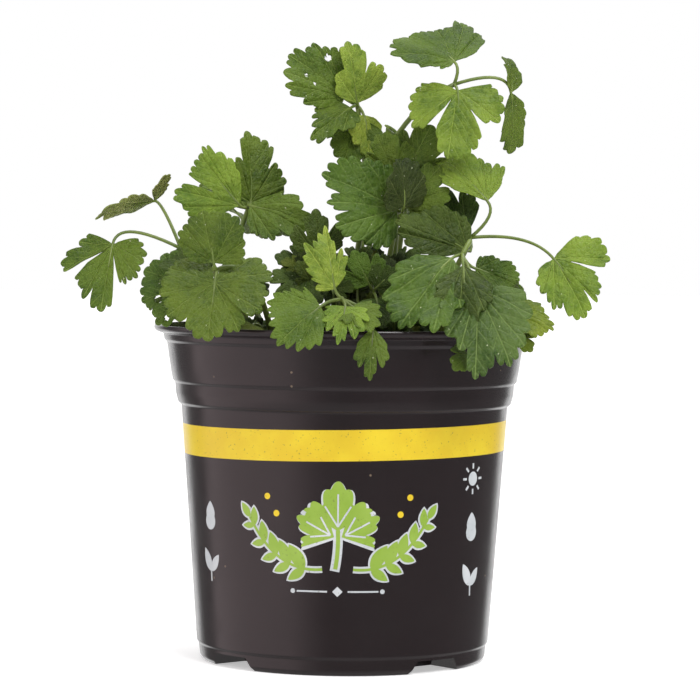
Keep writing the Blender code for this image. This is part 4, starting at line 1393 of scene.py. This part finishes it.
def branches(back, leaves, dots):
    """Adds the branches at both sides, with their outline and two dots each."""
    for side in (-1, 1):
        stem, sprays = spray(side)
        back.append((ribbon_shape(*stem, 2.0), 30, 2))
        leaves.append((ribbon_shape(*stem, 0.8), 30, 1))
        for at, angle, length in sprays:
            back.append((leaf_shape(at, angle, length, length * 0.46, 0.6), 14, 5))
            leaves.append((leaf_shape(at, angle, length, length * 0.46), 14, 5))
        for arc, height in ((18.5, 47.5), (21.5, 52.4)):
            dots.append((disc_shape((EMBLEM_MIDDLE + side * arc, height), 0.95), 20, 2))


def rule(back):
    """Adds the thin rule below, with a diamond in its middle and a dot at each end."""
    for side in (-1, 1):
        inner, middle, outer, dot = (EMBLEM_MIDDLE + side * arc for arc in (3, 7, 12, 13.2))
        line = ribbon_shape((inner, RULE_HEIGHT), (middle, RULE_HEIGHT), (outer, RULE_HEIGHT), 0.5)
        back.append((line, 16, 1))
        back.append((disc_shape((dot, RULE_HEIGHT), 0.7), 16, 2))
    back.append((disc_shape((EMBLEM_MIDDLE, RULE_HEIGHT), 1.5), 4, 2))


def build_emblem(green, pale, yellow):
    """A parsley sprig between two small branches, with an outline, dots and a rule below."""
    back, leaves, veins, dots = [], [], [], []
    sprig(back, leaves, veins)
    branches(back, leaves, dots)
    rule(back)
    printed("print_pale", back, pale, PALE_LIFT)
    printed("print_green", leaves, green, GREEN_LIFT)
    printed("print_veins", veins, pale, VEIN_LIFT)
    printed("print_dots", dots, yellow, DOT_LIFT)


def build_side_signs(pale):
    """Plain growing signs at the sides: a sun, a drop and a leaf."""
    shapes = [(disc_shape(SUN_SIGN, 2.1), 28, 3)]
    for i in range(8):
        ray = pointing(360 / 8 * i)
        start = Vector(SUN_SIGN) + ray * 3.0
        shapes.append((line_shape(start, Vector(SUN_SIGN) + ray * 4.6, 0.7), 3, 1))
    for arc, height in DROP_SIGNS:
        shapes.append((disc_shape((arc, height), 2.6), 28, 3))
        shapes.append((leaf_shape((arc, height - 0.6), 0, 6.6, 4.6), 14, 4))
    for arc, height in LEAF_SIGNS:
        shapes.append((leaf_shape((arc, height), -28, 7.6, 3.6), 14, 4))
        shapes.append((leaf_shape((arc + 0.4, height), 36, 6.4, 3.0), 14, 4))
        stem = ribbon_shape((arc, height + 1.5), (arc + 0.2, height - 1), (arc + 0.2, height - 3), 0.6)
        shapes.append((stem, 8, 1))
    printed("print_signs", shapes, pale, PALE_LIFT)


# ---------------------------------------------------------------- floor, lights and camera
FLOOR_LEVEL = -0.1 * MM
FLOOR_REACH = 6.0
FLOOR_GLOW = 0.45
PLANT_MIDDLE = (0, 0, 0.12)
CAMERA_PLACE = (0.0015, -0.94, 0.128)
CAMERA_LENS = 159.2
CAMERA_PITCH = 2.1  # degrees down
CAMERA_ROLL = 0.55  # degrees


def build_floor():
    """A white sheet that glows a little, so that it stays white in the pot's own shade."""
    made, tree, shader = new_material("pale_floor", 0.9, 0.1)
    place = add_node(tree, "TexCoord").outputs["Object"]
    cloud = speckle(tree, place, 3.0, 2.0)
    white = mixed(tree, cloud, (0.93, 0.93, 0.93), (0.96, 0.96, 0.96))
    tree.links.new(white, shader.inputs["Base Color"])
    shader.inputs["Emission Color"].default_value = (1.0, 1.0, 1.0, 1.0)
    shader.inputs["Emission Strength"].default_value = FLOOR_GLOW
    bm = bmesh.new()
    bmesh.ops.create_grid(bm, x_segments=1, y_segments=1, size=FLOOR_REACH)
    bmesh.ops.translate(bm, verts=bm.verts, vec=(0, 0, FLOOR_LEVEL))
    floor = add_object("floor", mesh_of(bm, "floor"), (made,))
    floor.visible_glossy = False


def build_world():
    """A white studio: a soft panel on the left, dark flags at the sides and a white back."""
    world = bpy.data.worlds.new("studio")
    world.use_nodes = True
    bpy.context.scene.world = world
    tree = world.node_tree
    direction = add_node(tree, "TexCoord").outputs["Generated"]
    parts = add_node(tree, "SeparateXYZ", {0: direction})
    leftward = maths(tree, "MULTIPLY", parts.outputs[0], -1.0)
    forward = maths(tree, "MULTIPLY", parts.outputs[1], -1.0)
    turn = maths(tree, "ARCTAN2", leftward, forward)
    turn = maths(tree, "DEGREES", turn)
    panel_on = ranged(tree, turn, 8, 50)
    panel_off = ranged(tree, turn, 112, 124, 1.0, 0.0)
    panel = maths(tree, "MULTIPLY", maths(tree, "MULTIPLY", panel_on, panel_off), 0.9)
    back = ranged(tree, maths(tree, "ABSOLUTE", turn), 143, 152, 0.0, 1.1)
    warm_panel = mixed(tree, 1.0, (1.0, 0.82, 0.84), panel, "MULTIPLY")
    level = mixed(tree, 1.0, warm_panel, maths(tree, "ADD", back, 0.22), "ADD")
    above = ranged(tree, parts.outputs[2], 0.40, 0.62)
    below = ranged(tree, parts.outputs[2], -0.62, -0.40, 1.0, 0.0)
    level = mixed(tree, above, level, (0.85, 0.85, 0.85))
    level = mixed(tree, below, level, (0.5, 0.5, 0.5))
    seen = add_node(tree, "LightPath").outputs["Is Camera Ray"]
    level = mixed(tree, seen, level, (1.0, 1.0, 1.0))
    tree.links.new(level, tree.nodes["Background"].inputs["Color"])


def add_panel_light(name, place, size, power):
    """A round soft light that looks at the plant's middle."""
    data = bpy.data.lights.new(name, "AREA")
    data.shape = "DISK"
    data.size = size
    data.energy = power
    obj = bpy.data.objects.new(name, data)
    obj.location = place
    aim = Vector(PLANT_MIDDLE) - Vector(place)
    obj.rotation_euler = aim.to_track_quat("-Z", "Y").to_euler()
    bpy.context.scene.collection.objects.link(obj)


def build_camera():
    data = bpy.data.cameras.new("camera")
    data.sensor_width = 36
    data.lens = CAMERA_LENS
    data.clip_start = 0.01
    camera = bpy.data.objects.new("camera", data)
    camera.location = CAMERA_PLACE
    level = Euler((math.radians(90 - CAMERA_PITCH), 0, 0)).to_matrix()
    camera.rotation_euler = (level @ Matrix.Rotation(math.radians(CAMERA_ROLL), 3, "Z")).to_euler()
    bpy.context.scene.collection.objects.link(camera)
    bpy.context.scene.camera = camera


# ---------------------------------------------------------------- the whole scene
def build_stage():
    build_camera()
    build_world()
    build_floor()
    add_panel_light("key", (0.5, -0.9, 1.1), 0.6, 10.0)
    add_panel_light("top", (0.25, 0.2, 1.3), 0.8, 5.0)
    bpy.context.scene.view_settings.view_transform = "Standard"


def build_printed_pot():
    yellow = print_finish("yellow_print", (0.66, 0.46, 0.006), (0.72, 0.54, 0.010))
    build_pot(plastic_finish(), yellow)
    pale = print_finish("pale_print", (0.46, 0.49, 0.51), (0.56, 0.58, 0.60))
    green = print_finish("green_print", (0.235, 0.375, 0.035), (0.275, 0.415, 0.055))
    build_emblem(green, pale, yellow)
    build_side_signs(pale)


def build_mix():
    peat = earth_finish("peat", (0.012, 0.007, 0.004), (0.060, 0.036, 0.020), 260.0, 0.0008)
    build_soil(peat)
    scattered("peat_crumbs", peat, 520, (1.0, 3.2), 0.7, "crumbs")
    bark = earth_finish("bark", (0.035, 0.016, 0.008), (0.13, 0.065, 0.030), 320.0, 0.0005)
    scattered("bark_chips", bark, 120, (2.0, 4.6), 0.35, "bark")
    perlite = earth_finish("perlite", (0.55, 0.53, 0.48), (0.80, 0.79, 0.74), 700.0, 0.0003)
    scattered("perlite", perlite, 46, (1.0, 2.2), 0.9, "perlite")


def build_plant():
    looks = (leaf_finish("leaf_upper", False), leaf_finish("leaf_under", True), stalk_finish())
    for name, leaf in LEAVES.items():
        build_leaf(name, leaf, looks, FINE_BLADE)
    for name, (foot, via, fork, *small) in SMALL_LEAVES.items():
        leaflets = [Leaflet(base, tip, face, "small", *rest) for base, tip, face, *rest in small]
        build_leaf(name, Leaf(foot, via, fork, leaflets), looks, SMALL_BLADE)
    build_undergrowth(looks)
    build_low_leaflets(looks)


build_stage()
build_printed_pot()
build_mix()
build_plant()
